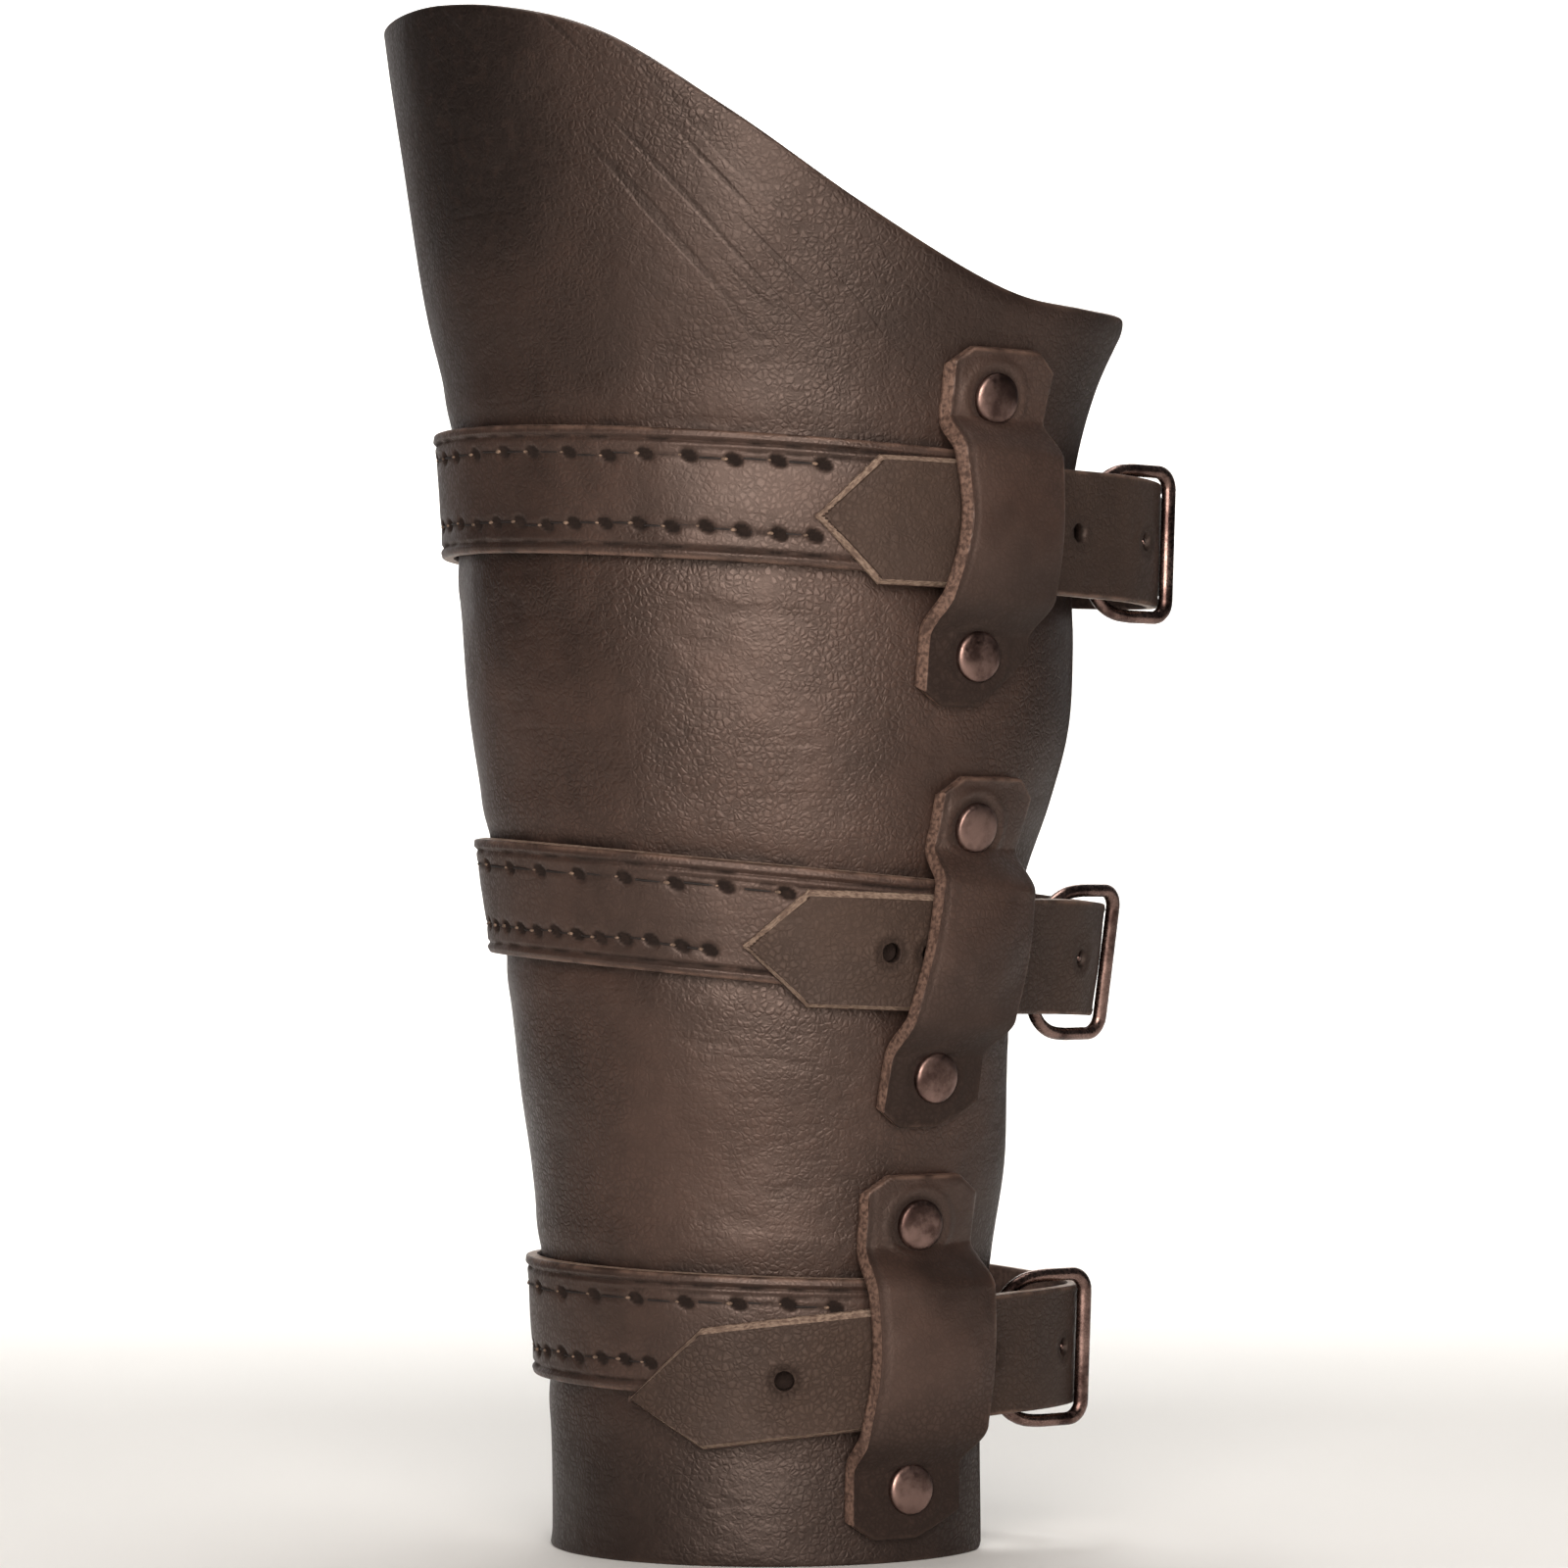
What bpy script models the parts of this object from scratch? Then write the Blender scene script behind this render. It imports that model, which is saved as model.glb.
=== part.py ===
"""Leather vambrace: a flared forearm wall held by three buckled straps, each under a riveted keeper.

The wall stands on its wrist rim at height 0. The front faces -Y, and the opening is on the right, at +X.
Angles round the arm are in degrees: 0 faces the front, 90 the right, -90 the left.
"""

import math
from collections import namedtuple

import bmesh
import bpy
import numpy as np
from mathutils import Vector

# The wall of the vambrace, in metres
HEIGHT = 0.292
WRIST_HALF_WIDTH = 0.0422
ELBOW_HALF_WIDTH = 0.0745
DEPTH_SHARE = 0.88
CENTRE_X = -0.003
WALL = 0.0024
WALL_ROUNDING = 0.0006
RIM_DROP = 0.057
EDGE_WAVE = 0.006
CORNER_RADIUS = 0.005
GAP = 0.0003

# Where the wall ends and where its rim peaks, as angles
FRONT_EDGE = 75.0
BACK_EDGE = -235.0
PEAK = -80.0
WAVE_SPAN = 45.0

# Side of the wall from wrist to elbow: height as a share of HEIGHT, flare as a share of the widening,
# and the wave of the free edges as a share of EDGE_WAVE
Section = namedtuple("Section", "height flare wave")
SECTIONS = (
    Section(0.000, 0.000, 0.02),
    Section(0.106, 0.004, 0.00),
    Section(0.197, 0.060, 0.05),
    Section(0.255, 0.115, 0.18),
    Section(0.308, 0.190, -0.15),
    Section(0.386, 0.262, -0.40),
    Section(0.440, 0.325, -0.32),
    Section(0.490, 0.400, 0.12),
    Section(0.535, 0.462, 0.38),
    Section(0.590, 0.517, 0.26),
    Section(0.640, 0.550, 0.02),
    Section(0.712, 0.585, 0.00),
    Section(0.760, 0.640, 0.35),
    Section(0.812, 0.745, 0.95),
    Section(0.925, 0.905, 1.20),
    Section(1.000, 1.000, 1.30),
)

# Rim of the wall: how far round from the peak to the free edge, and the drop as a share of RIM_DROP
Rim = namedtuple("Rim", "turn drop")
RIM = (
    Rim(0.000, 0.000),
    Rim(0.155, 0.005),
    Rim(0.232, 0.035),
    Rim(0.355, 0.150),
    Rim(0.477, 0.404),
    Rim(0.606, 0.690),
    Rim(0.703, 0.855),
    Rim(0.800, 0.965),
    Rim(0.900, 0.995),
    Rim(1.000, 1.000),
)

# The straps
STRAP_WIDTH = 0.0235
STRAP_THICKNESS = 0.0028
SKIVED_THICKNESS = 0.0014
FOLD_RETURN = 0.0065
FOLD_WIDTH = 0.0130
BACK_REST = -215.0
HOLE_RADIUS = 0.0019
HOLE_PITCH = 0.022
HOLE_FROM_TIP = 0.020

# The buckles: wire frames with a narrower inner bar, and a hooked prong
BUCKLE_DEPTH = 0.0205
BUCKLE_INNER_HEIGHT = 0.0256
BUCKLE_CORNER = 0.0034
WIRE_RADIUS = 0.00125
PRONG_RADIUS = 0.0008
SLOT_PLAY = 0.0009

# Side of a buckle from its outer to its inner bar: shares of its depth and of its half height
Side = namedtuple("Side", "depth height")
BUCKLE_SIDE = (
    Side(0.50, 1.000),
    Side(0.68, 0.975),
    Side(0.82, 0.890),
    Side(0.92, 0.770),
    Side(0.98, 0.640),
    Side(1.00, 0.540),
)

# The keepers and their rivets
KEEPER_WIDTH = 0.0245
KEEPER_THICKNESS = 0.0024
KEEPER_END = 0.0093
KEEPER_CLIP = 0.0035
KEEPER_CLEARANCE = 0.0005
RIVET_ABOVE = 0.0103
RIVET_BELOW = 0.0122
RIVET_CAP_RADIUS = 0.0048
RIVET_CAP_HEIGHT = 0.0019
RIVET_SHANK_RADIUS = 0.0015
RIVET_BACK_RADIUS = 0.0040
RIVET_BACK_HEIGHT = 0.0008

# One row for each belt. Levels are heights as shares of HEIGHT, width is a share of STRAP_WIDTH,
# point and prong_hole are shares of STRAP_WIDTH and BUCKLE_DEPTH, and the rest are angles in degrees
Belt = namedtuple(
    "Belt",
    "name level tilt width leave curl lean buckle_level tip tip_level sag point prong_hole"
    " keeper_top keeper_low",
)
BELTS = (
    Belt("upper", 0.6795, 3.9, 1.02, 51, 30, 2.4, 0.6613, 7.8, 0.6681, 1.0, 0.52, 0.44, 40.7, 39.5),
    Belt("middle", 0.4130, 5.7, 0.94, 49, 34, 9.0, 0.3870, -5.0, 0.3993, 1.0, 0.52, 0.66, 43.0, 37.8),
    Belt("lower", 0.1479, 2.1, 0.98, 45, 30, 2.9, 0.1325, -34.6, 0.1070, 2.5, 0.66, 0.26, 37.0, 36.7),
)

# Colour, roughness and metallic value of each material
LEATHER = ((0.068, 0.045, 0.036), 0.50, 0.0)
STRAP_LEATHER = ((0.060, 0.040, 0.033), 0.48, 0.0)
ANTIQUE_BRASS = ((0.30, 0.22, 0.19), 0.35, 1.0)

# Heights of the two layers of a belt over the wall, to the middle of each layer
LOW = GAP + STRAP_THICKNESS / 2
HIGH = GAP + STRAP_THICKNESS + GAP + STRAP_THICKNESS / 2
# From the middle of the strap in to the inner bar, with the prong between them, and out to the outer bar
BAR_DROP = STRAP_THICKNESS / 2 + GAP + 2 * PRONG_RADIUS + GAP + WIRE_RADIUS
BAR_RISE = STRAP_THICKNESS / 2 + GAP + WIRE_RADIUS
UP = np.array([0.0, 0.0, 1.0])

# How finely the solids are faceted
WALL_COLUMNS = 42
WALL_ROWS = 17
BELT_ROWS = 38
TURNED_STEPS = 14


# Curves and the surface of the wall
def smooth_curve(x, xs, ys):
    """Values at x of a smooth curve through the points (xs, ys)."""
    xs = np.asarray(xs, float)
    ys = np.asarray(ys, float)
    slopes = np.gradient(ys, xs)
    x = np.clip(x, xs[0], xs[-1])
    i = np.clip(np.searchsorted(xs, x) - 1, 0, len(xs) - 2)
    step = xs[i + 1] - xs[i]
    t = (x - xs[i]) / step
    start = (2 * t**3 - 3 * t**2 + 1) * ys[i] + (t**3 - 2 * t**2 + t) * step * slopes[i]
    end = (3 * t**2 - 2 * t**3) * ys[i + 1] + (t**3 - t**2) * step * slopes[i + 1]
    return start + end


def ease(t):
    """0 below 0, 1 above 1, and a smooth step between."""
    t = np.clip(t, 0.0, 1.0)
    return t * t * (3 - 2 * t)


def unit(vector):
    vector = np.asarray(vector, float)
    return vector / np.linalg.norm(vector, axis=-1, keepdims=True)


def skin(theta, z):
    """Point on the outer face of the wall at an angle and a height."""
    theta, z = np.broadcast_arrays(np.asarray(theta, float), np.asarray(z, float))
    heights = [section.height for section in SECTIONS]
    flare = smooth_curve(z / HEIGHT, heights, [section.flare for section in SECTIONS])
    wave = smooth_curve(z / HEIGHT, heights, [section.wave for section in SECTIONS])
    from_edge = np.minimum(FRONT_EDGE - theta, theta - BACK_EDGE)
    half = WRIST_HALF_WIDTH + (ELBOW_HALF_WIDTH - WRIST_HALF_WIDTH) * flare
    half = half + EDGE_WAVE * wave * ease(1 - from_edge / WAVE_SPAN)
    turn = np.radians(theta)
    x = CENTRE_X + half * np.sin(turn)
    y = -DEPTH_SHARE * half * np.cos(turn)
    return np.stack([x, y, z], axis=-1)


def outward(theta, z):
    """Unit normal of the wall's outer face."""
    across = skin(np.add(theta, 0.05), z) - skin(np.subtract(theta, 0.05), z)
    along = skin(theta, np.add(z, 0.0001)) - skin(theta, np.subtract(z, 0.0001))
    return unit(np.cross(across, along))


def lifted(theta, z, height):
    """Point at a height over the wall's outer face."""
    return skin(theta, z) + outward(theta, z) * np.asarray(height, float)[..., None]


def rim_height(theta):
    """Height of the wall's upper rim at an angle, with its corners at the free edges rounded."""
    turn = np.abs(theta - PEAK) / (FRONT_EDGE - PEAK)
    drop = smooth_curve(turn, [row.turn for row in RIM], [row.drop for row in RIM])
    return HEIGHT - RIM_DROP * drop


def hermite(start, start_way, end, end_way, shares):
    """Rows of a smooth curve from start to end that leaves and arrives along the given ways."""
    rows = []
    for t in shares:
        a = 2 * t**3 - 3 * t**2 + 1
        b = t**3 - 2 * t**2 + t
        c = 3 * t**2 - 2 * t**3
        d = t**3 - t**2
        rows.append(a * start + b * start_way + c * end + d * end_way)
    return rows


# Where each belt runs and where its buckle sits
def band_level(belt, theta):
    """Height of the middle of the stitched layer at an angle."""
    level = belt.level * HEIGHT
    return level - math.tan(math.radians(belt.tilt)) * (skin(theta, level)[..., 0] - CENTRE_X)


def planar(angle, size=1.0):
    return size * np.array([math.cos(angle), math.sin(angle), 0.0])


def normal_of(way):
    """Outward level normal of a level direction that runs towards the buckle."""
    return np.array([way[1], -way[0], 0.0])


def arc(start, angle, turn, length):
    """End of a level arc that starts at an angle and turns as it goes."""
    if turn * length == 0:
        return start + planar(angle, length)
    over = length / turn
    way = [math.sin(angle + turn) - math.sin(angle), math.cos(angle) - math.cos(angle + turn), 0.0]
    return start + over * np.array(way)


def nearest_wall(point, belt):
    """Level distance from a point to the wall beside a buckle."""
    level = belt.buckle_level * HEIGHT
    half = belt.width * STRAP_WIDTH / 2
    thetas = np.linspace(belt.leave - 10, FRONT_EDGE, 60)
    levels = np.linspace(level - half, level + half, 5)
    wall = skin(thetas[:, None], levels[None, :]).reshape(-1, 3)
    lean = np.tan(math.radians(belt.lean)) * (wall[:, 2] - level)
    way = unit(np.array([point[0] - CENTRE_X, point[1], 0.0]))
    gaps = wall[:, :2] - (point[:2] + lean[:, None] * way[:2])
    return np.linalg.norm(gaps, axis=1).min()


Buckle = namedtuple("Buckle", "leave start way over_inner turn length over_outer inner outer along up out")


def buckle_place(belt):
    """Bars, axes and strap positions of a buckle. The strap runs straight off the wall, passes over
    the inner bar and curls under the outer bar."""
    level = belt.buckle_level * HEIGHT
    start = lifted(belt.leave, level, HIGH)
    tangent = skin(belt.leave + 0.1, level) - skin(belt.leave - 0.1, level)
    way = unit(tangent * np.array([1.0, 1.0, 0.0]))
    normal = normal_of(way)
    needed = WIRE_RADIUS + GAP + 2 * max(PRONG_RADIUS, SKIVED_THICKNESS / 2) + 2 * GAP
    run = BUCKLE_DEPTH * 0.3
    while nearest_wall(start + run * way - BAR_DROP * normal, belt) < needed:
        run += 0.0001
    over_inner = start + run * way
    inner = over_inner - BAR_DROP * normal
    angle = math.atan2(way[1], way[0])
    turn = math.radians(belt.curl)
    length = BUCKLE_DEPTH * 0.5
    outer = over_outer = over_inner
    while np.linalg.norm(outer - inner) < BUCKLE_DEPTH:
        length += 0.00002
        over_outer = arc(over_inner, angle, turn, length)
        outer = over_outer + BAR_RISE * normal_of(planar(angle + turn))
    along = unit(outer - inner)
    lean = math.radians(belt.lean)
    up = math.cos(lean) * UP + math.sin(lean) * normal_of(along)
    out = unit(np.cross(along, up))
    return Buckle(belt.leave, start, way, over_inner, turn, length, over_outer, inner, outer, along, up, out)


def tongue_length(belt, place):
    """Distance along the strap from the outer bar to the tip of the tongue."""
    thetas = np.linspace(belt.tip, belt.leave, 60)
    points = lifted(thetas, belt.buckle_level * HEIGHT, HIGH)
    on_wall = np.linalg.norm(np.diff(points, axis=0), axis=1).sum()
    return on_wall + np.linalg.norm(place.over_inner - place.start) + place.length


def tongue_level(belt, place, distance):
    """Height of the middle of the tongue at a distance from the outer bar."""
    share = np.clip(distance / tongue_length(belt, place), 0.0, 1.0)
    return HEIGHT * (belt.buckle_level + (belt.tip_level - belt.buckle_level) * share**belt.sag)


def distance_at(belt, place, theta):
    """Distance along the strap from the outer bar to an angle where the strap lies on the wall."""
    thetas = np.linspace(theta, belt.leave, 30)
    points = lifted(thetas, belt.buckle_level * HEIGHT, HIGH)
    on_wall = np.linalg.norm(np.diff(points, axis=0), axis=1).sum()
    return on_wall + np.linalg.norm(place.over_inner - place.start) + place.length


def angle_at(belt, place, distance):
    """Angle where the strap on the wall is a distance from the outer bar."""
    thetas = np.linspace(belt.leave, belt.tip, 240)
    points = lifted(thetas, belt.buckle_level * HEIGHT, HIGH)
    steps = np.linalg.norm(np.diff(points, axis=0), axis=1)
    off_wall = np.linalg.norm(place.over_inner - place.start) + place.length
    along = off_wall + np.concatenate([[0.0], np.cumsum(steps)])
    return float(np.interp(distance, along, thetas))


def strap_point(belt, place, distance, offset=0.0, aside=0.0):
    """Point on the strap's upper layer at a distance from the outer bar, with its outward normal."""
    run = np.linalg.norm(place.over_inner - place.start)
    if distance > place.length + run:
        theta = angle_at(belt, place, distance)
        level = tongue_level(belt, place, distance) + aside
        return lifted(theta, level, HIGH + offset), outward(theta, level)
    angle = math.atan2(place.way[1], place.way[0])
    if distance > place.length:
        point = place.start + (run + place.length - distance) * place.way
        normal = normal_of(place.way)
    else:
        share = 1 - distance / place.length
        point = arc(place.over_inner, angle, place.turn * share, place.length * share)
        normal = normal_of(planar(angle + place.turn * share))
    facing = unit(normal - normal.dot(place.up) * place.up)
    point = point + place.up * (tongue_level(belt, place, distance) - point[2]) / place.up[2]
    return point + offset * facing + aside * place.up, facing


def belt_rows(belt, place):
    """Middle surface of a whole belt, from the folded end at the buckle, over the front, the left and
    the back of the wall, out to the buckle and over itself to the tip of the tongue. Each row runs
    across the belt from its lower to its upper edge. Also gives the rows of the slot and of the fold."""
    half = belt.width * STRAP_WIDTH / 2
    fold_half = min(FOLD_WIDTH / 2, half)
    slot = (PRONG_RADIUS + SLOT_PLAY) / fold_half
    spread = np.array([-1.0, -slot, slot, 1.0])
    fold_radius = WIRE_RADIUS + GAP + SKIVED_THICKNESS / 2
    way = unit(np.cross(np.cross(place.up, place.way), place.up))
    facing = unit(np.cross(way, place.up))
    slot_reach = fold_radius + 2 * PRONG_RADIUS
    rows = []

    # The folded end, from its loose end round the inner bar. It lies against the lower layer.
    layer = -(STRAP_THICKNESS + GAP)
    loose = BAR_DROP + layer - STRAP_THICKNESS / 2 - GAP - SKIVED_THICKNESS / 2
    for back, share in ((FOLD_RETURN, 1.0), (slot_reach, 0.6), (slot_reach * 0.5, 0.15)):
        height = -fold_radius + (loose + fold_radius) * share
        middle = place.inner + height * facing - back * way
        rows.append(middle + fold_half * spread[:, None] * place.up)
    slot_rows = [1]
    for angle in np.radians(np.linspace(180, 0, 8)):
        middle = place.inner + fold_radius * (math.cos(angle) * facing + math.sin(angle) * way)
        rows.append(middle + fold_half * spread[:, None] * place.up)

    # The lower layer back to the wall, widening to the full strap
    skived = len(rows)
    run = np.linalg.norm(place.over_inner - place.start)
    across = place.up
    levels = band_level(belt, np.array(float(belt.leave)))
    leave_row = lifted(np.full(4, float(belt.leave)), levels + half * spread, np.full(4, LOW))
    plain = strap_point(belt, place, place.length + run, layer)[0]
    plain = plain + across * (levels - plain[2]) / across[2]
    drift = leave_row - (plain + half * spread[:, None] * across)
    for share in (slot_reach / run, 0.42, 0.6, 0.8):
        middle = strap_point(belt, place, place.length + share * run, layer)[0]
        level = place.inner[2] + (levels - place.inner[2]) * ease(share)
        middle = middle + across * (level - middle[2]) / across[2]
        width = fold_half + (half - fold_half) * ease((share * run - slot_reach) / (run - slot_reach) * 1.8)
        rows.append(middle + width * spread[:, None] * across + share * drift)
    slot_rows.append(skived)

    # The stitched layer round the wall
    for theta in np.linspace(belt.leave, BACK_REST, BELT_ROWS):
        levels = band_level(belt, np.array(theta)) + half * spread
        rows.append(lifted(np.full(4, theta), levels, np.full(4, LOW)))

    # Off the back of the wall and round to the outer bar
    away = unit(rows[-1] - rows[-2])
    angle = math.atan2(place.way[1], place.way[0]) + place.turn
    bar_row = strap_point(belt, place, 0.0)[0] + half * spread[:, None] * across
    chord = np.linalg.norm(bar_row.mean(axis=0) - rows[-1].mean(axis=0))
    rows += hermite(rows[-1], chord * away, bar_row, -chord * planar(angle), np.linspace(0, 1, 12)[1:-1])

    # Under the outer bar, over the inner bar and back to the wall
    distances = list(np.linspace(0, place.length, 7))
    distances += list(place.length + run * np.array([0.25, 0.5, 0.75]))
    theta_end = distance_at(belt, place, belt.leave)
    end_row = lifted(
        np.full(4, float(belt.leave)),
        tongue_level(belt, place, theta_end) + half * spread,
        np.full(4, HIGH),
    )
    plain_end, facing_end = strap_point(belt, place, place.length + run)
    drift = end_row - (plain_end + half * spread[:, None] * across)
    for distance in distances:
        middle, facing_here = strap_point(belt, place, distance)
        share = max(0.0, (distance - place.length) / run)
        rows.append(middle + half * spread[:, None] * across + share * drift)

    # The tongue on the wall, and its point
    total = tongue_length(belt, place)
    point = belt.point * STRAP_WIDTH
    on_wall = np.linspace(place.length + run, total - point, 9)
    pointed = total - point * np.array([0.85, 0.6, 0.3, 0.0])
    for distance in np.concatenate([on_wall, pointed]):
        theta = angle_at(belt, place, distance)
        width = half * np.clip((total - distance) / point, 0.05, 1.0)
        levels = tongue_level(belt, place, distance) + width * spread
        rows.append(lifted(np.full(4, theta), levels, np.full(4, HIGH)))
    return np.array(rows), slot_rows, skived


# Building tools
def material(name, colour, roughness, metallic):
    made = bpy.data.materials.new(name)
    made.use_nodes = True
    shader = made.node_tree.nodes["Principled BSDF"]
    shader.inputs["Base Color"].default_value = (*colour, 1.0)
    shader.inputs["Roughness"].default_value = roughness
    shader.inputs["Metallic"].default_value = metallic
    return made


def mesh_object(name, bm, collection, parent=None, finish=None):
    mesh = bpy.data.meshes.new(name)
    bm.to_mesh(mesh)
    bm.free()
    mesh.shade_smooth()
    mesh.set_sharp_from_angle(angle=math.radians(35))
    made = bpy.data.objects.new(name, mesh)
    collection.objects.link(made)
    made.parent = parent
    if finish:
        mesh.materials.append(finish)
    return made


def leather_sheet(name, points, thickness, side, collection, parent, finish, slot=None, thin=None):
    """A sheet of leather: a grid laid on rows of points and thickened. Side is 0 for a middle surface
    and -1 for an outer face. Slot names two rows between which the middle column is left out, and
    thin gives how many first rows are skived."""
    rows, columns = points.shape[:2]
    bm = bmesh.new()
    bmesh.ops.create_grid(bm, x_segments=rows - 1, y_segments=columns - 1, size=0.5)
    place = {}
    for vert in bm.verts:
        place[vert] = (round((vert.co.x + 0.5) * (rows - 1)), round((vert.co.y + 0.5) * (columns - 1)))
    if slot:
        middle = (columns - 2) // 2
        out = []
        for face in bm.faces:
            spots = [place[vert] for vert in face.verts]
            if all(slot[0] <= row <= slot[1] and middle <= column <= middle + 1 for row, column in spots):
                out.append(face)
        bmesh.ops.delete(bm, geom=out, context="FACES")
    for vert in bm.verts:
        vert.co = Vector(points[place[vert]])
    full = [place[vert][0] >= (thin or 0) for vert in bm.verts]
    sheet = mesh_object(name, bm, collection, parent, finish)
    solid = sheet.modifiers.new("thickness", "SOLIDIFY")
    solid.thickness = thickness
    solid.offset = side
    solid.use_even_offset = True
    if thin:
        group = sheet.vertex_groups.new(name="full_thickness")
        group.add([i for i, whole in enumerate(full) if whole], 1.0, "REPLACE")
        solid.vertex_group = group.name
        solid.thickness_vertex_group = SKIVED_THICKNESS / thickness
    return sheet


def wire(name, points, radius, closed, collection, parent, finish, taper=None):
    """A wire through the points, with filled ends unless it is closed."""
    curve = bpy.data.curves.new(name, "CURVE")
    curve.dimensions = "3D"
    curve.bevel_depth = radius
    curve.bevel_resolution = 2
    curve.use_fill_caps = True
    spline = curve.splines.new("POLY")
    spline.points.add(len(points) - 1)
    for i, (target, point) in enumerate(zip(spline.points, points)):
        target.co = (*point, 1.0)
        target.radius = taper[i] if taper else 1.0
    spline.use_cyclic_u = closed
    curve.materials.append(finish)
    made = bpy.data.objects.new(name, curve)
    collection.objects.link(made)
    made.parent = parent
    return made


def pins(name, places, radius, collection):
    """Cutters: a cylinder at each place, given as its two ends."""
    bm = bmesh.new()
    for start, end in places:
        start, end = Vector(start), Vector(end)
        way = end - start
        turn = way.to_track_quat("Z", "Y").to_matrix().to_4x4()
        turn.translation = (start + end) / 2
        bmesh.ops.create_cone(
            bm,
            cap_ends=True,
            segments=14,
            radius1=radius,
            radius2=radius,
            depth=way.length,
            matrix=turn,
        )
    cutter = mesh_object(name, bm, collection)
    cutter.hide_render = True
    cutter.display_type = "WIRE"
    return cutter


def cut(target, cutter):
    modifier = target.modifiers.new("holes", "BOOLEAN")
    modifier.operation = "DIFFERENCE"
    modifier.solver = "EXACT"
    modifier.object = cutter


# The pieces
def wall_points():
    """Outer face of the wall, closer together at the free edges, where its corners are rounded."""
    half = ELBOW_HALF_WIDTH
    corner = math.degrees(CORNER_RADIUS / half)
    ends = corner * np.array([0.0, 0.12, 0.4, 1.0])
    inner = np.linspace(BACK_EDGE + corner, FRONT_EDGE - corner, WALL_COLUMNS)[1:-1]
    thetas = np.concatenate([BACK_EDGE + ends, inner, (FRONT_EDGE - ends)[::-1]])
    rows = []
    for theta in thetas:
        top = rim_height(theta)
        edge = min(theta - BACK_EDGE, FRONT_EDGE - theta) / corner
        rounding = CORNER_RADIUS * (1 - math.sqrt(max(0.0, 1 - (1 - min(edge, 1.0)) ** 2)))
        shares = np.linspace(0, 1, WALL_ROWS)
        low, high = 0.4 * rounding, top - rounding
        rows.append(skin(theta, low + (high - low) * shares))
    return np.array(rows)


def build_wall(collection, parent, finish):
    wall = leather_sheet("shell", wall_points(), WALL, -1.0, collection, parent, finish)
    rounding = wall.modifiers.new("worn_edges", "BEVEL")
    rounding.width = WALL_ROUNDING
    rounding.segments = 1
    rounding.limit_method = "ANGLE"
    rounding.angle_limit = math.radians(50)
    return wall


def hole_places(belt, place):
    """Distances of the tongue's holes from the outer bar. The first one holds the prong."""
    first = belt.prong_hole * BUCKLE_DEPTH
    last = tongue_length(belt, place) - HOLE_FROM_TIP
    return list(np.arange(first, last, HOLE_PITCH))


def build_belt(belt, place, collection, cutters, parent, finish):
    rows, slot, skived = belt_rows(belt, place)
    name = belt.name + "_belt"
    strap = leather_sheet(
        name, rows, STRAP_THICKNESS, 0.0, collection, parent, finish, slot=slot, thin=skived
    )
    ends = []
    depth = STRAP_THICKNESS / 2
    for distance in hole_places(belt, place):
        inside, facing = strap_point(belt, place, distance, -depth)
        ends.append((inside - facing * GAP / 2, inside + facing * (2 * depth + GAP)))
    cut(strap, pins("cut_" + name, ends, HOLE_RADIUS, cutters))
    return strap


def frame_outline():
    """Half of a buckle's outline, from the middle of the outer bar to the middle of the inner bar, as
    distances in from the outer bar and up."""
    half = BUCKLE_INNER_HEIGHT / 2 + WIRE_RADIUS
    outline = [(0.0, 0.0), (0.0, half * 0.45)]
    for angle in np.radians([0, 22.5, 45, 67.5, 90]):
        into = BUCKLE_CORNER * (1 - math.cos(angle))
        up = half - BUCKLE_CORNER * (1 - math.sin(angle))
        outline.append((into, up))
    for side in BUCKLE_SIDE:
        outline.append((side.depth * BUCKLE_DEPTH, side.height * half))
    outline.append((BUCKLE_DEPTH, 0.0))
    return outline


def build_buckle(belt, place, collection, parent, finish):
    upper = frame_outline()
    lower = [(into, -up) for into, up in upper[-2:0:-1]]
    points = [place.outer - into * place.along + up * place.up for into, up in upper + lower]
    return wire(belt.name + "_buckle_frame", points, WIRE_RADIUS, True, collection, parent, finish)


def build_prong(belt, place, collection, parent, finish):
    """A wire hooked round the inner bar that runs under the strap and turns up into its hole."""
    way = unit(np.cross(np.cross(place.up, place.way), place.up))
    facing = unit(np.cross(way, place.up))
    ring = WIRE_RADIUS + GAP + PRONG_RADIUS
    points = []
    for angle in np.radians(np.linspace(-245, 0, 12)):
        points.append(place.inner + ring * (math.cos(angle) * facing + math.sin(angle) * way))
    hole = belt.prong_hole * BUCKLE_DEPTH
    under = -(STRAP_THICKNESS / 2 + GAP + PRONG_RADIUS)
    knee = 1.7 * PRONG_RADIUS
    path = [(distance, under) for distance in np.linspace(place.length, hole + 2 * knee, 4)[1:]]
    for ahead, depth in ((1.0, 0.96), (0.45, 0.72), (0.1, 0.3), (0.0, -0.08)):
        path.append((hole + ahead * knee, under * depth))
    path.append((hole, STRAP_THICKNESS / 2 - GAP))
    for distance, offset in path:
        point, _ = strap_point(belt, place, distance, offset)
        share = max(0.0, distance - hole) / (place.length - hole)
        aside = (point - place.inner).dot(place.up)
        points.append(point - place.up * aside * share)
    taper = [1.0] * (len(points) - 2) + [0.95, 0.7]
    return wire(belt.name + "_prong", points, PRONG_RADIUS, False, collection, parent, finish, taper)


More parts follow.
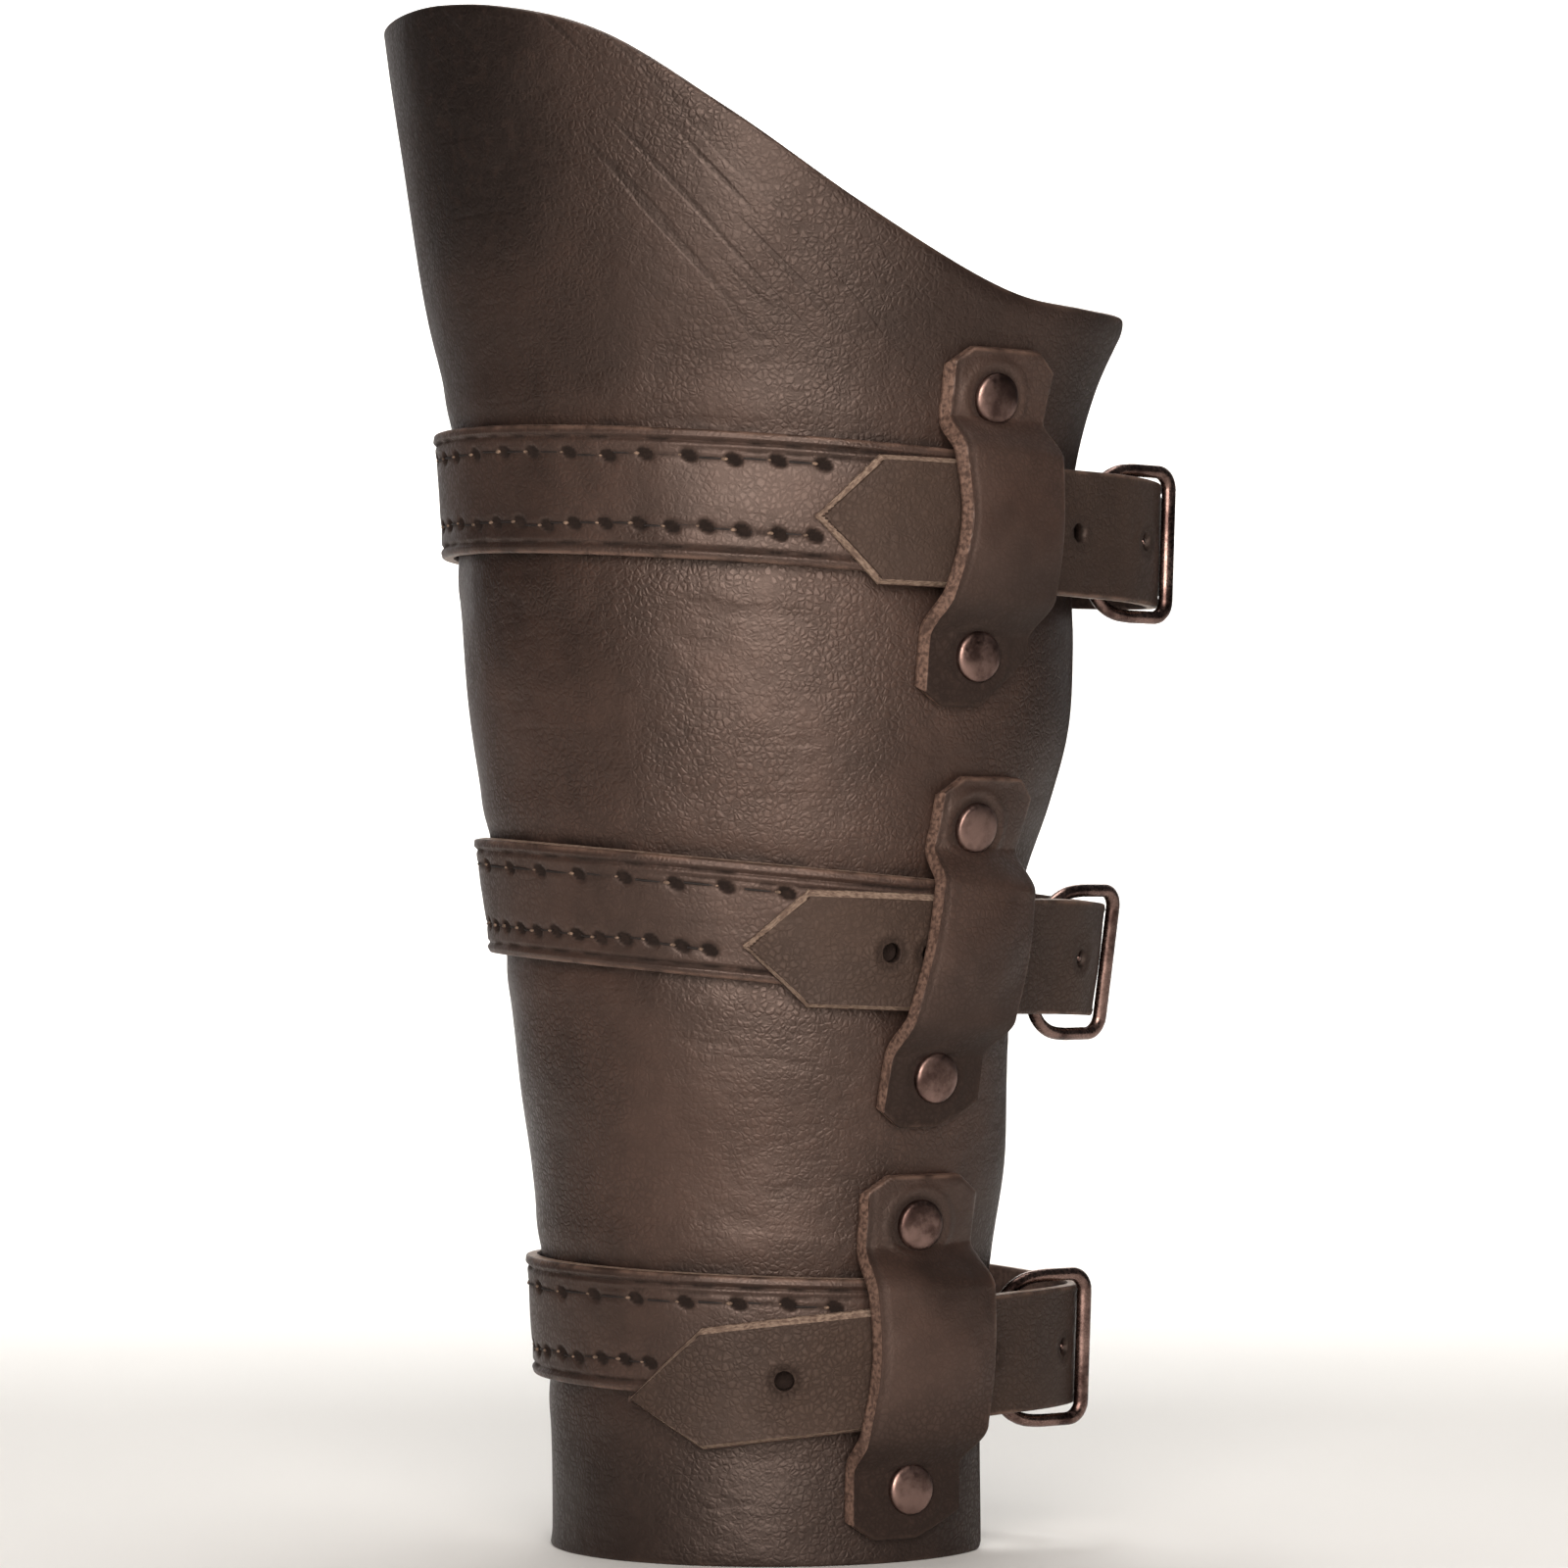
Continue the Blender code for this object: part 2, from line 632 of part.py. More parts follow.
def keeper_levels(belt, place):
    """Angle and level of a keeper's two rivets, and the levels between which it clears the tongue."""
    half = belt.width * STRAP_WIDTH / 2
    theta = (belt.keeper_top + belt.keeper_low) / 2
    band = float(band_level(belt, np.array(theta)))
    tongue = tongue_level(belt, place, distance_at(belt, place, min(theta, belt.leave)))
    top = max(band, tongue) + half + RIVET_ABOVE
    low = min(band, tongue) - half - RIVET_BELOW
    return (belt.keeper_top, top), (belt.keeper_low, low)


def tongue_edges(belt, place, theta):
    """Lower and upper edge of the tongue at an angle, and how far it has left the wall there."""
    half = belt.width * STRAP_WIDTH / 2
    theta_on = min(theta, belt.leave)
    middle = tongue_level(belt, place, distance_at(belt, place, theta_on))
    radius = np.linalg.norm(skin(theta_on, middle)[:2] - np.array([CENTRE_X, 0.0]))
    past = math.radians(max(0.0, theta - belt.leave))
    return middle - half, middle + half, radius * (1 / math.cos(past) - 1) * 1.3


def build_keeper(belt, place, collection, cutters, parent, finish):
    (top_theta, top), (low_theta, low) = keeper_levels(belt, place)
    pad = RIVET_CAP_RADIUS + GAP
    flat = GAP + KEEPER_THICKNESS / 2
    over = 2 * (GAP + STRAP_THICKNESS) + KEEPER_CLEARANCE + KEEPER_THICKNESS / 2
    middle = skin((top_theta + low_theta) / 2, (top + low) / 2)
    radius = np.linalg.norm(middle[:2] - np.array([CENTRE_X, 0.0]))
    half_turn = math.degrees(KEEPER_WIDTH / 2 / radius)
    columns = []
    for side in (-1.0, -0.6, -0.2, 0.2, 0.6, 1.0):
        clipped = KEEPER_CLIP * max(0.0, abs(side) - 0.6) / 0.4
        middle_theta = (top_theta + low_theta) / 2 + side * half_turn
        low_edge, top_edge, leaving = tongue_edges(belt, place, middle_theta)
        low_edge -= KEEPER_CLEARANCE
        band_edge = float(band_level(belt, np.array(middle_theta))) + belt.width * STRAP_WIDTH / 2
        top_edge += KEEPER_CLEARANCE + 0.5 * max(0.0, band_edge - top_edge)
        levels = np.concatenate(
            [
                np.linspace(low - KEEPER_END + clipped, low + pad, 4),
                np.linspace(low + pad, low_edge, 6)[1:],
                np.linspace(low_edge, top_edge, 4)[1:],
                np.linspace(top_edge, top - pad, 6)[1:],
                np.linspace(top - pad, top + KEEPER_END - clipped, 4)[1:],
            ]
        )
        climb = np.minimum(
            (levels - low - pad) / max(low_edge - low - pad, 0.0001),
            (top - pad - levels) / max(top - pad - top_edge, 0.0001),
        )
        height = flat + (over + leaving - flat) * ease(climb)
        share = (levels - low) / (top - low)
        theta = low_theta + (top_theta - low_theta) * share + side * half_turn
        columns.append(lifted(theta, levels, height))
    name = belt.name + "_keeper"
    points = np.array(columns)
    keeper = leather_sheet(name, points, KEEPER_THICKNESS, 0.0, collection, parent, finish)
    ends = []
    for theta, level in ((top_theta, top), (low_theta, low)):
        normal = outward(theta, level)
        foot = skin(theta, level)
        ends.append((foot - normal * GAP, foot + normal * 2 * (KEEPER_THICKNESS + GAP)))
    cut(keeper, pins("cut_" + name, ends, RIVET_SHANK_RADIUS + GAP, cutters))
    return keeper


def rivet_mesh(finish):
    """A rivet with a low domed cap over the keeper, a shank and a flat back inside the wall. Height 0
    is the outer face of the wall."""
    seat = GAP + KEEPER_THICKNESS + GAP
    back = -(WALL + 1.6 * GAP)
    rim = RIVET_CAP_HEIGHT * 0.28
    profile = [(0.0, seat + RIVET_CAP_HEIGHT)]
    for angle in np.radians([24, 46, 66, 82]):
        across = RIVET_CAP_RADIUS * math.sin(angle)
        up = seat + rim + (RIVET_CAP_HEIGHT - rim) * math.cos(angle)
        profile.append((across, up))
    profile += [
        (RIVET_CAP_RADIUS, seat + rim * 0.6),
        (RIVET_CAP_RADIUS * 0.96, seat),
        (RIVET_SHANK_RADIUS, seat),
        (RIVET_SHANK_RADIUS, back),
        (RIVET_BACK_RADIUS, back),
        (RIVET_BACK_RADIUS * 0.92, back - RIVET_BACK_HEIGHT),
        (0.0, back - RIVET_BACK_HEIGHT),
    ]
    bm = bmesh.new()
    verts = [bm.verts.new((across, 0.0, up)) for across, up in profile]
    for first, second in zip(verts, verts[1:]):
        bm.edges.new((first, second))
    mesh = bpy.data.meshes.new("rivet")
    bm.to_mesh(mesh)
    bm.free()
    mesh.materials.append(finish)
    return mesh


def build_rivet(name, mesh, theta, level, collection, parent):
    rivet = bpy.data.objects.new(name, mesh)
    collection.objects.link(rivet)
    rivet.parent = parent
    rivet.location = Vector(skin(theta, level))
    rivet.rotation_mode = "QUATERNION"
    rivet.rotation_quaternion = Vector(outward(theta, level)).to_track_quat("Z", "Y")
    turned = rivet.modifiers.new("turned", "SCREW")
    turned.steps = TURNED_STEPS
    turned.render_steps = TURNED_STEPS
    turned.use_merge_vertices = True
    turned.merge_threshold = 0.00001
    turned.use_smooth_shade = True
    return rivet


def main():
    for old in list(bpy.data.objects):
        bpy.data.objects.remove(old, do_unlink=True)
    pieces = bpy.data.collections.new("vambrace")
    cutters = bpy.data.collections.new("vambrace_cutters")
    for made in (pieces, cutters):
        bpy.context.scene.collection.children.link(made)
    root = bpy.data.objects.new("vambrace", None)
    pieces.objects.link(root)
    leather = material("wall_leather", *LEATHER)
    strap_leather = material("strap_leather", *STRAP_LEATHER)
    brass = material("antique_brass", *ANTIQUE_BRASS)
    wall = build_wall(pieces, root, leather)
    rivets = rivet_mesh(brass)
    rivet_holes = []
    for belt in BELTS:
        place = buckle_place(belt)
        build_belt(belt, place, pieces, cutters, root, strap_leather)
        build_buckle(belt, place, pieces, root, brass)
        build_prong(belt, place, pieces, root, brass)
        build_keeper(belt, place, pieces, cutters, root, strap_leather)
        for end, (theta, level) in zip(("top", "low"), keeper_levels(belt, place)):
            build_rivet(f"{belt.name}_rivet_{end}", rivets, theta, level, pieces, root)
            normal = outward(theta, level)
            foot = skin(theta, level)
            rivet_holes.append((foot - normal * 2 * WALL, foot + normal * WALL))
    cut(wall, pins("cut_shell", rivet_holes, RIVET_SHANK_RADIUS + GAP, cutters))


main()
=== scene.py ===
import math
from collections import namedtuple

import bpy
import numpy as np
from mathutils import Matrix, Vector


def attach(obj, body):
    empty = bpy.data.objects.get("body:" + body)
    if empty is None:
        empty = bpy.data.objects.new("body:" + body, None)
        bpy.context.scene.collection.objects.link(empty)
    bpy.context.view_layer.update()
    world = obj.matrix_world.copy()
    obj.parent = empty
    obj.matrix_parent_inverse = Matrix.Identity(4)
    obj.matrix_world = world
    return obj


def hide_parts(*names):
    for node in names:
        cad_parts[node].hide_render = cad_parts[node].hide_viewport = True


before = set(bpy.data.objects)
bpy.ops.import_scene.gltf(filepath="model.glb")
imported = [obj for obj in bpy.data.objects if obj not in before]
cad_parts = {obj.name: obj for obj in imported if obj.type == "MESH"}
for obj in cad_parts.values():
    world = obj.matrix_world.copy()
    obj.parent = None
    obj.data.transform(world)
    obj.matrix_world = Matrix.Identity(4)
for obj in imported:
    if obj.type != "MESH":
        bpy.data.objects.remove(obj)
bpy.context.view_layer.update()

bl_info = {
    "name": "Leather vambrace",
    "version": (1, 0, 0),
    "blender": (4, 5, 0),
    "location": "3D View > Sidebar > Vambrace",
    "description": "Dresses a forearm guard with its leather, stitching, keepers, buckles and rivets",
    "category": "Object",
}

# The wall of the vambrace, in metres. The front faces -Y and the opening is on the right, at +X
HEIGHT = 0.292
WRIST_HALF_WIDTH = 0.0422
ELBOW_HALF_WIDTH = 0.0745
DEPTH_SHARE = 0.88
CENTRE_X = -0.003
WALL = 0.0024
RIM_DROP = 0.057
EDGE_WAVE = 0.006
CORNER_RADIUS = 0.005
GAP = 0.0003

# Angles round the arm in degrees: 0 faces the front, 90 the right, -90 the left
FRONT_EDGE = 75.0
BACK_EDGE = -235.0
PEAK = -80.0
WAVE_SPAN = 45.0

Section = namedtuple("Section", "height flare wave")
SECTIONS = (
    Section(0.000, 0.000, 0.02),
    Section(0.106, 0.004, 0.00),
    Section(0.197, 0.060, 0.05),
    Section(0.255, 0.115, 0.18),
    Section(0.308, 0.190, -0.15),
    Section(0.386, 0.262, -0.40),
    Section(0.440, 0.325, -0.32),
    Section(0.490, 0.400, 0.12),
    Section(0.535, 0.462, 0.38),
    Section(0.590, 0.517, 0.26),
    Section(0.640, 0.550, 0.02),
    Section(0.712, 0.585, 0.00),
    Section(0.760, 0.640, 0.35),
    Section(0.812, 0.745, 0.95),
    Section(0.925, 0.905, 1.20),
    Section(1.000, 1.000, 1.30),
)

Rim = namedtuple("Rim", "turn drop")
RIM = (
    Rim(0.000, 0.000),
    Rim(0.155, 0.005),
    Rim(0.232, 0.035),
    Rim(0.355, 0.150),
    Rim(0.477, 0.404),
    Rim(0.606, 0.690),
    Rim(0.703, 0.855),
    Rim(0.800, 0.965),
    Rim(0.900, 0.995),
    Rim(1.000, 1.000),
)

# Slanted creases across the flare, and a point on their middle one
CREASE_TURN = -0.76
CREASE_MIDDLE = (-0.031, -0.05, 0.268)

# The straps
STRAP_WIDTH = 0.0235
STRAP_THICKNESS = 0.0028
SKIVED_THICKNESS = 0.0014
FOLD_RETURN = 0.0065
FOLD_WIDTH = 0.0130
BACK_REST = -215.0
FINE_TO = -95.0
HOLE_RADIUS = 0.0019
HOLE_PITCH = 0.022
HOLE_FROM_TIP = 0.020
TIP_SHARE = 0.05

# Angle of a further hole, beside the middle keeper
SPARE_HOLES = {"middle": 24.0}

# The buckles
BUCKLE_DEPTH = 0.0205
BUCKLE_INNER_HEIGHT = 0.0256
BUCKLE_CORNER = 0.0034
WIRE_RADIUS = 0.00125
PRONG_RADIUS = 0.0008
SLOT_PLAY = 0.0009

Side = namedtuple("Side", "depth height")
BUCKLE_SIDE = (
    Side(0.50, 1.000),
    Side(0.68, 0.975),
    Side(0.82, 0.890),
    Side(0.92, 0.770),
    Side(0.98, 0.640),
    Side(1.00, 0.540),
)

# The keepers and their rivets
KEEPER_WIDTH = 0.0245
KEEPER_THICKNESS = 0.0024
KEEPER_END = 0.0093
KEEPER_CLIP = 0.0035
KEEPER_CLEARANCE = 0.0005
KEEPER_ARCH = 0.0016

# How far each keeper's left side is drawn in at its low end, its middle and its top, how far its low
# right corner is clipped, and its share of the slanted cut's width
KeeperCut = namedtuple("KeeperCut", "low middle top clip bevel")
KEEPER_CUTS = {
    "upper": KeeperCut(0.0008, 0.0041, 0.0024, 0.0095, 1.0),
    "middle": KeeperCut(0.0020, 0.0036, 0.0043, 0.0045, 0.62),
    "lower": KeeperCut(0.0005, 0.0026, 0.0018, 0.0045, 0.75),
}
RIVET_ABOVE = 0.0103
RIVET_BELOW = 0.0122
RIVET_CAP_RADIUS = 0.0048
RIVET_SHANK_RADIUS = 0.0015
RIVET_BACK_RADIUS = 0.0040
RIVET_BACK_HEIGHT = 0.0008

# One row for each belt, as in the solids
Belt = namedtuple(
    "Belt",
    "name level tilt width leave curl lean buckle_level tip tip_level sag point prong_hole"
    " keeper_top keeper_low",
)
BELTS = (
    Belt("upper", 0.6795, 3.9, 1.02, 51, 30, 2.4, 0.6613, 7.8, 0.6681, 1.0, 0.52, 0.44, 40.7, 39.5),
    Belt("middle", 0.4130, 5.7, 0.94, 49, 34, 9.0, 0.3870, -5.0, 0.3993, 1.0, 0.52, 0.66, 43.0, 37.8),
    Belt("lower", 0.1479, 2.1, 0.98, 45, 30, 2.9, 0.1325, -34.6, 0.1070, 2.5, 0.66, 0.26, 37.0, 36.7),
)

# The two stitch rows of each belt: how far inside its edge and how far apart the holes are, in metres
Seam = namedtuple("Seam", "belt edge inset pitch")
SEAMS = (
    Seam("upper", "top", 0.0050, 0.0080),
    Seam("upper", "low", 0.0058, 0.0066),
    Seam("middle", "top", 0.0050, 0.0098),
    Seam("middle", "low", 0.0056, 0.0054),
    Seam("lower", "top", 0.0052, 0.0094),
    Seam("lower", "low", 0.0056, 0.0056),
)

LOW = GAP + STRAP_THICKNESS / 2
HIGH = GAP + STRAP_THICKNESS + GAP + STRAP_THICKNESS / 2
BAR_DROP = STRAP_THICKNESS / 2 + GAP + 2 * PRONG_RADIUS + GAP + WIRE_RADIUS
BAR_RISE = STRAP_THICKNESS / 2 + GAP + WIRE_RADIUS
UP = np.array([0.0, 0.0, 1.0])


# Curves and the surface of the wall
def smooth_curve(x, xs, ys):
    """Values at x of a smooth curve through the points (xs, ys)."""
    xs = np.asarray(xs, float)
    ys = np.asarray(ys, float)
    slopes = np.gradient(ys, xs)
    x = np.clip(x, xs[0], xs[-1])
    i = np.clip(np.searchsorted(xs, x) - 1, 0, len(xs) - 2)
    step = xs[i + 1] - xs[i]
    t = (x - xs[i]) / step
    start = (2 * t**3 - 3 * t**2 + 1) * ys[i] + (t**3 - 2 * t**2 + t) * step * slopes[i]
    end = (3 * t**2 - 2 * t**3) * ys[i + 1] + (t**3 - t**2) * step * slopes[i + 1]
    return start + end


def ease(t):
    """0 below 0, 1 above 1, and a smooth step between."""
    t = np.clip(t, 0.0, 1.0)
    return t * t * (3 - 2 * t)


def unit(vector):
    vector = np.asarray(vector, float)
    return vector / np.linalg.norm(vector, axis=-1, keepdims=True)


def skin(theta, z):
    """Point on the outer face of the wall at an angle and a height."""
    theta, z = np.broadcast_arrays(np.asarray(theta, float), np.asarray(z, float))
    heights = [section.height for section in SECTIONS]
    flare = smooth_curve(z / HEIGHT, heights, [section.flare for section in SECTIONS])
    wave = smooth_curve(z / HEIGHT, heights, [section.wave for section in SECTIONS])
    from_edge = np.minimum(FRONT_EDGE - theta, theta - BACK_EDGE)
    half = WRIST_HALF_WIDTH + (ELBOW_HALF_WIDTH - WRIST_HALF_WIDTH) * flare
    half = half + EDGE_WAVE * wave * ease(1 - from_edge / WAVE_SPAN)
    turn = np.radians(theta)
    x = CENTRE_X + half * np.sin(turn)
    y = -DEPTH_SHARE * half * np.cos(turn)
    return np.stack([x, y, z], axis=-1)


def outward(theta, z):
    """Unit normal of the wall's outer face."""
    across = skin(np.add(theta, 0.05), z) - skin(np.subtract(theta, 0.05), z)
    along = skin(theta, np.add(z, 0.0001)) - skin(theta, np.subtract(z, 0.0001))
    return unit(np.cross(across, along))


def lifted(theta, z, height):
    """Point at a height over the wall's outer face."""
    return skin(theta, z) + outward(theta, z) * np.asarray(height, float)[..., None]


def rim_height(theta):
    """Height of the wall's upper rim at an angle."""
    turn = np.abs(theta - PEAK) / (FRONT_EDGE - PEAK)
    drop = smooth_curve(turn, [row.turn for row in RIM], [row.drop for row in RIM])
    return HEIGHT - RIM_DROP * drop


def hermite(start, start_way, end, end_way, shares):
    """Rows of a smooth curve from start to end that leaves and arrives along the given ways."""
    rows = []
    for t in shares:
        a = 2 * t**3 - 3 * t**2 + 1
        b = t**3 - 2 * t**2 + t
        c = 3 * t**2 - 2 * t**3
        d = t**3 - t**2
        rows.append(a * start + b * start_way + c * end + d * end_way)
    return rows


# Where each belt runs and where its buckle sits
def half_width(belt):
    return belt.width * STRAP_WIDTH / 2


def band_level(belt, theta):
    """Height of the middle of the stitched layer at an angle."""
    level = belt.level * HEIGHT
    return level - math.tan(math.radians(belt.tilt)) * (skin(theta, level)[..., 0] - CENTRE_X)


def planar(angle, size=1.0):
    return size * np.array([math.cos(angle), math.sin(angle), 0.0])


def normal_of(way):
    """Outward level normal of a level direction that runs towards the buckle."""
    return np.array([way[1], -way[0], 0.0])


def arc(start, angle, turn, length):
    """End of a level arc that starts at an angle and turns as it goes."""
    if turn * length == 0:
        return start + planar(angle, length)
    over = length / turn
    way = [math.sin(angle + turn) - math.sin(angle), math.cos(angle) - math.cos(angle + turn), 0.0]
    return start + over * np.array(way)


def nearest_wall(point, belt):
    """Level distance from a point to the wall beside a buckle."""
    level = belt.buckle_level * HEIGHT
    half = half_width(belt)
    thetas = np.linspace(belt.leave - 10, FRONT_EDGE, 60)
    levels = np.linspace(level - half, level + half, 5)
    wall = skin(thetas[:, None], levels[None, :]).reshape(-1, 3)
    lean = np.tan(math.radians(belt.lean)) * (wall[:, 2] - level)
    way = unit(np.array([point[0] - CENTRE_X, point[1], 0.0]))
    gaps = wall[:, :2] - (point[:2] + lean[:, None] * way[:2])
    return np.linalg.norm(gaps, axis=1).min()


Buckle = namedtuple("Buckle", "start way over_inner turn length inner outer along up out")


def buckle_place(belt):
    """Bars, axes and strap positions of a buckle. The strap runs straight off the wall, passes over
    the inner bar and curls under the outer bar."""
    level = belt.buckle_level * HEIGHT
    start = lifted(belt.leave, level, HIGH)
    tangent = skin(belt.leave + 0.1, level) - skin(belt.leave - 0.1, level)
    way = unit(tangent * np.array([1.0, 1.0, 0.0]))
    normal = normal_of(way)
    needed = WIRE_RADIUS + GAP + 2 * max(PRONG_RADIUS, SKIVED_THICKNESS / 2) + 2 * GAP
    run = BUCKLE_DEPTH * 0.3
    while nearest_wall(start + run * way - BAR_DROP * normal, belt) < needed:
        run += 0.0001
    over_inner = start + run * way
    inner = over_inner - BAR_DROP * normal
    angle = math.atan2(way[1], way[0])
    turn = math.radians(belt.curl)
    length = BUCKLE_DEPTH * 0.5
    outer = over_inner
    while np.linalg.norm(outer - inner) < BUCKLE_DEPTH:
        length += 0.00002
        outer = arc(over_inner, angle, turn, length) + BAR_RISE * normal_of(planar(angle + turn))
    along = unit(outer - inner)
    lean = math.radians(belt.lean)
    up = math.cos(lean) * UP + math.sin(lean) * normal_of(along)
    out = unit(np.cross(along, up))
    return Buckle(start, way, over_inner, turn, length, inner, outer, along, up, out)


def tongue_length(belt, place):
    """Distance along the strap from the outer bar to the tip of the tongue."""
    return distance_at(belt, place, belt.tip, 60)


def tongue_level(belt, place, distance):
    """Height of the middle of the tongue at a distance from the outer bar."""
    share = np.clip(distance / tongue_length(belt, place), 0.0, 1.0)
    return HEIGHT * (belt.buckle_level + (belt.tip_level - belt.buckle_level) * share**belt.sag)


def tongue_half(belt, place, distance):
    """Half width of the strap at a distance from the outer bar. It narrows towards the tip."""
    to_tip = tongue_length(belt, place) - distance
    return half_width(belt) * np.clip(to_tip / (belt.point * STRAP_WIDTH), TIP_SHARE, 1.0)


def distance_at(belt, place, theta, count=30):
    """Distance along the strap from the outer bar to an angle where the strap lies on the wall."""
    thetas = np.linspace(theta, belt.leave, count)
    points = lifted(thetas, belt.buckle_level * HEIGHT, HIGH)
    on_wall = np.linalg.norm(np.diff(points, axis=0), axis=1).sum()
    return on_wall + np.linalg.norm(place.over_inner - place.start) + place.length


def angle_at(belt, place, distance):
    """Angle where the strap on the wall is a distance from the outer bar."""
    thetas = np.linspace(belt.leave, belt.tip, 240)
    points = lifted(thetas, belt.buckle_level * HEIGHT, HIGH)
    steps = np.linalg.norm(np.diff(points, axis=0), axis=1)
    off_wall = np.linalg.norm(place.over_inner - place.start) + place.length
    along = off_wall + np.concatenate([[0.0], np.cumsum(steps)])
    return float(np.interp(distance, along, thetas))


def strap_point(belt, place, distance, offset=0.0, aside=0.0):
    """Point on the strap's upper layer at a distance from the outer bar, with its outward normal."""
    run = np.linalg.norm(place.over_inner - place.start)
    if distance > place.length + run:
        theta = angle_at(belt, place, distance)
        level = tongue_level(belt, place, distance) + aside
        return lifted(theta, level, HIGH + offset), outward(theta, level)
    angle = math.atan2(place.way[1], place.way[0])
    if distance > place.length:
        point = place.start + (run + place.length - distance) * place.way
        normal = normal_of(place.way)
    else:
        share = 1 - distance / place.length
        point = arc(place.over_inner, angle, place.turn * share, place.length * share)
        normal = normal_of(planar(angle + place.turn * share))
    facing = unit(normal - normal.dot(place.up) * place.up)
    point = point + place.up * (tongue_level(belt, place, distance) - point[2]) / place.up[2]
    return point + offset * facing + aside * place.up, facing


def hole_places(belt, place):
    """Distances of the tongue's holes from the outer bar. The first one holds the prong."""
    first = belt.prong_hole * BUCKLE_DEPTH
    last = tongue_length(belt, place) - HOLE_FROM_TIP
    distances = list(np.arange(first, last, HOLE_PITCH))
    if belt.name in SPARE_HOLES:
        distances.append(distance_at(belt, place, SPARE_HOLES[belt.name]))
    return distances


def keeper_levels(belt, place):
    """Angle and level of a keeper's two rivets."""
    half = half_width(belt)
    theta = (belt.keeper_top + belt.keeper_low) / 2
    band = float(band_level(belt, np.array(theta)))
    tongue = tongue_level(belt, place, distance_at(belt, place, min(theta, belt.leave)))
    top = max(band, tongue) + half + RIVET_ABOVE
    low = min(band, tongue) - half - RIVET_BELOW
    return (belt.keeper_top, top), (belt.keeper_low, low)


def tongue_edges(belt, place, theta):
    """Lower and upper edge of the tongue at an angle, and how far it has left the wall there."""
    half = half_width(belt)
    theta_on = min(theta, belt.leave)
    middle = tongue_level(belt, place, distance_at(belt, place, theta_on))
    radius = np.linalg.norm(skin(theta_on, middle)[:2] - np.array([CENTRE_X, 0.0]))
    past = math.radians(max(0.0, theta - belt.leave))
    return middle - half, middle + half, radius * (1 / math.cos(past) - 1) * 1.3


PLACES = {belt.name: buckle_place(belt) for belt in BELTS}


# Settings that a user would change
def colour(code):
    """Linear colour of an sRGB hex value."""
    linear = []
    for i in (0, 2, 4):
        share = int(code[i : i + 2], 16) / 255
        linear.append(share / 12.92 if share <= 0.04045 else ((share + 0.055) / 1.055) ** 2.4)
    return (*linear, 1.0)


def colour_property(name, code, description):
    return bpy.props.FloatVectorProperty(
        name=name, description=description, subtype="COLOR", size=4, min=0.0, max=1.0, default=colour(code)
    )


def length_property(name, metres, description):
    return bpy.props.FloatProperty(
        name=name, description=description, unit="LENGTH", subtype="DISTANCE", min=0.0, default=metres
    )


class VambraceSizes(bpy.types.PropertyGroup):
    """Sizes of the fine work on the leather and the metal."""

    grain: length_property("Grain", 0.0012, "Width of one pebble of the leather's grain")
    edge_rounding: length_property("Edge rounding", 0.00055, "Rounding of the cut edges")
    bevel: length_property("Skived edge", 0.0013, "Width of the slanted cut along a keeper's edge")
    point_bevel: length_property("Skived point", 0.0010, "Width of the slanted cut along a strap's point")
    crease: length_property("Edge crease", 0.0021, "Distance of the creased line from a strap's edge")
    hole_length: length_property("Stitch hole", 0.0030, "Length of a pricked stitch hole")
    thread: length_property("Thread", 0.00045, "Thickness of the sewing thread")
    cap_radius: length_property("Rivet cap", RIVET_CAP_RADIUS, "Radius of a rivet's cap")
    cap_height: length_property("Rivet dome", 0.0014, "Height of a rivet's dome")
    bar: length_property("Outer bar", 0.0015, "Half width of a buckle's outer bar")


class VambraceColours(bpy.types.PropertyGroup):
    """Colours of the leather, the thread, the metal and the floor."""

    wall_dark: colour_property("Wall, dark", "1b1310", "Deep tone of the wall's dye")
    wall_light: colour_property("Wall, light", "3f2e27", "Rubbed tone of the wall's dye")
    strap_dark: colour_property("Strap, dark", "1b1310", "Deep tone of the straps' dye")
    strap_light: colour_property("Strap, light", "43322b", "Rubbed tone of the straps' dye")
    tongue_light: colour_property("Tongue, light", "35271f", "Rubbed tone of the straps' upper layer")
    cut_edge: colour_property("Cut edge", "6f574b", "Burnished cut edges")
    flesh: colour_property("Flesh side", "5d4a42", "Rough inner side of the leather")
    thread: colour_property("Thread", "1d1512", "Waxed sewing thread")
    # The thread end is a paler copy of the thread: a painted highlight where it comes up by its hole
    thread_end: colour_property("Thread end", "7a6454", "Where the thread comes up through its hole")
    metal: colour_property("Metal", "a88a80", "Rubbed metal of the buckles and rivets")
    patina: colour_property("Patina", "2a1a18", "Dark patina of the metal")
    floor: colour_property("Floor", "ebe9e6", "Paper on the floor and behind")


# Mesh tools
def new_object(name, data):
    made = bpy.data.objects.new(name, data)
    bpy.context.scene.collection.objects.link(made)
    return made


def loop_mesh(name, points, faces, kinds, finishes, maps=None):
    """A piece from points and faces. Kinds gives each face's material, and maps gives UV maps by point."""
    mesh = bpy.data.meshes.new(name)
    mesh.from_pydata([tuple(point) for point in points], [], [tuple(face) for face in faces])
    mesh.polygons.foreach_set("material_index", np.asarray(kinds, np.int32))
    corners = np.empty(len(mesh.loops), np.int32)
    mesh.loops.foreach_get("vertex_index", corners)
    for title, values in (maps or {}).items():
        layer = mesh.uv_layers.new(name=title)
        layer.uv.foreach_set("vector", np.asarray(values, np.float32)[corners].ravel())
    for finish in finishes:
        mesh.materials.append(finish)
    mesh.shade_smooth()
    mesh.set_sharp_from_angle(angle=math.radians(40))
    mesh.update()
    return new_object(name, mesh)


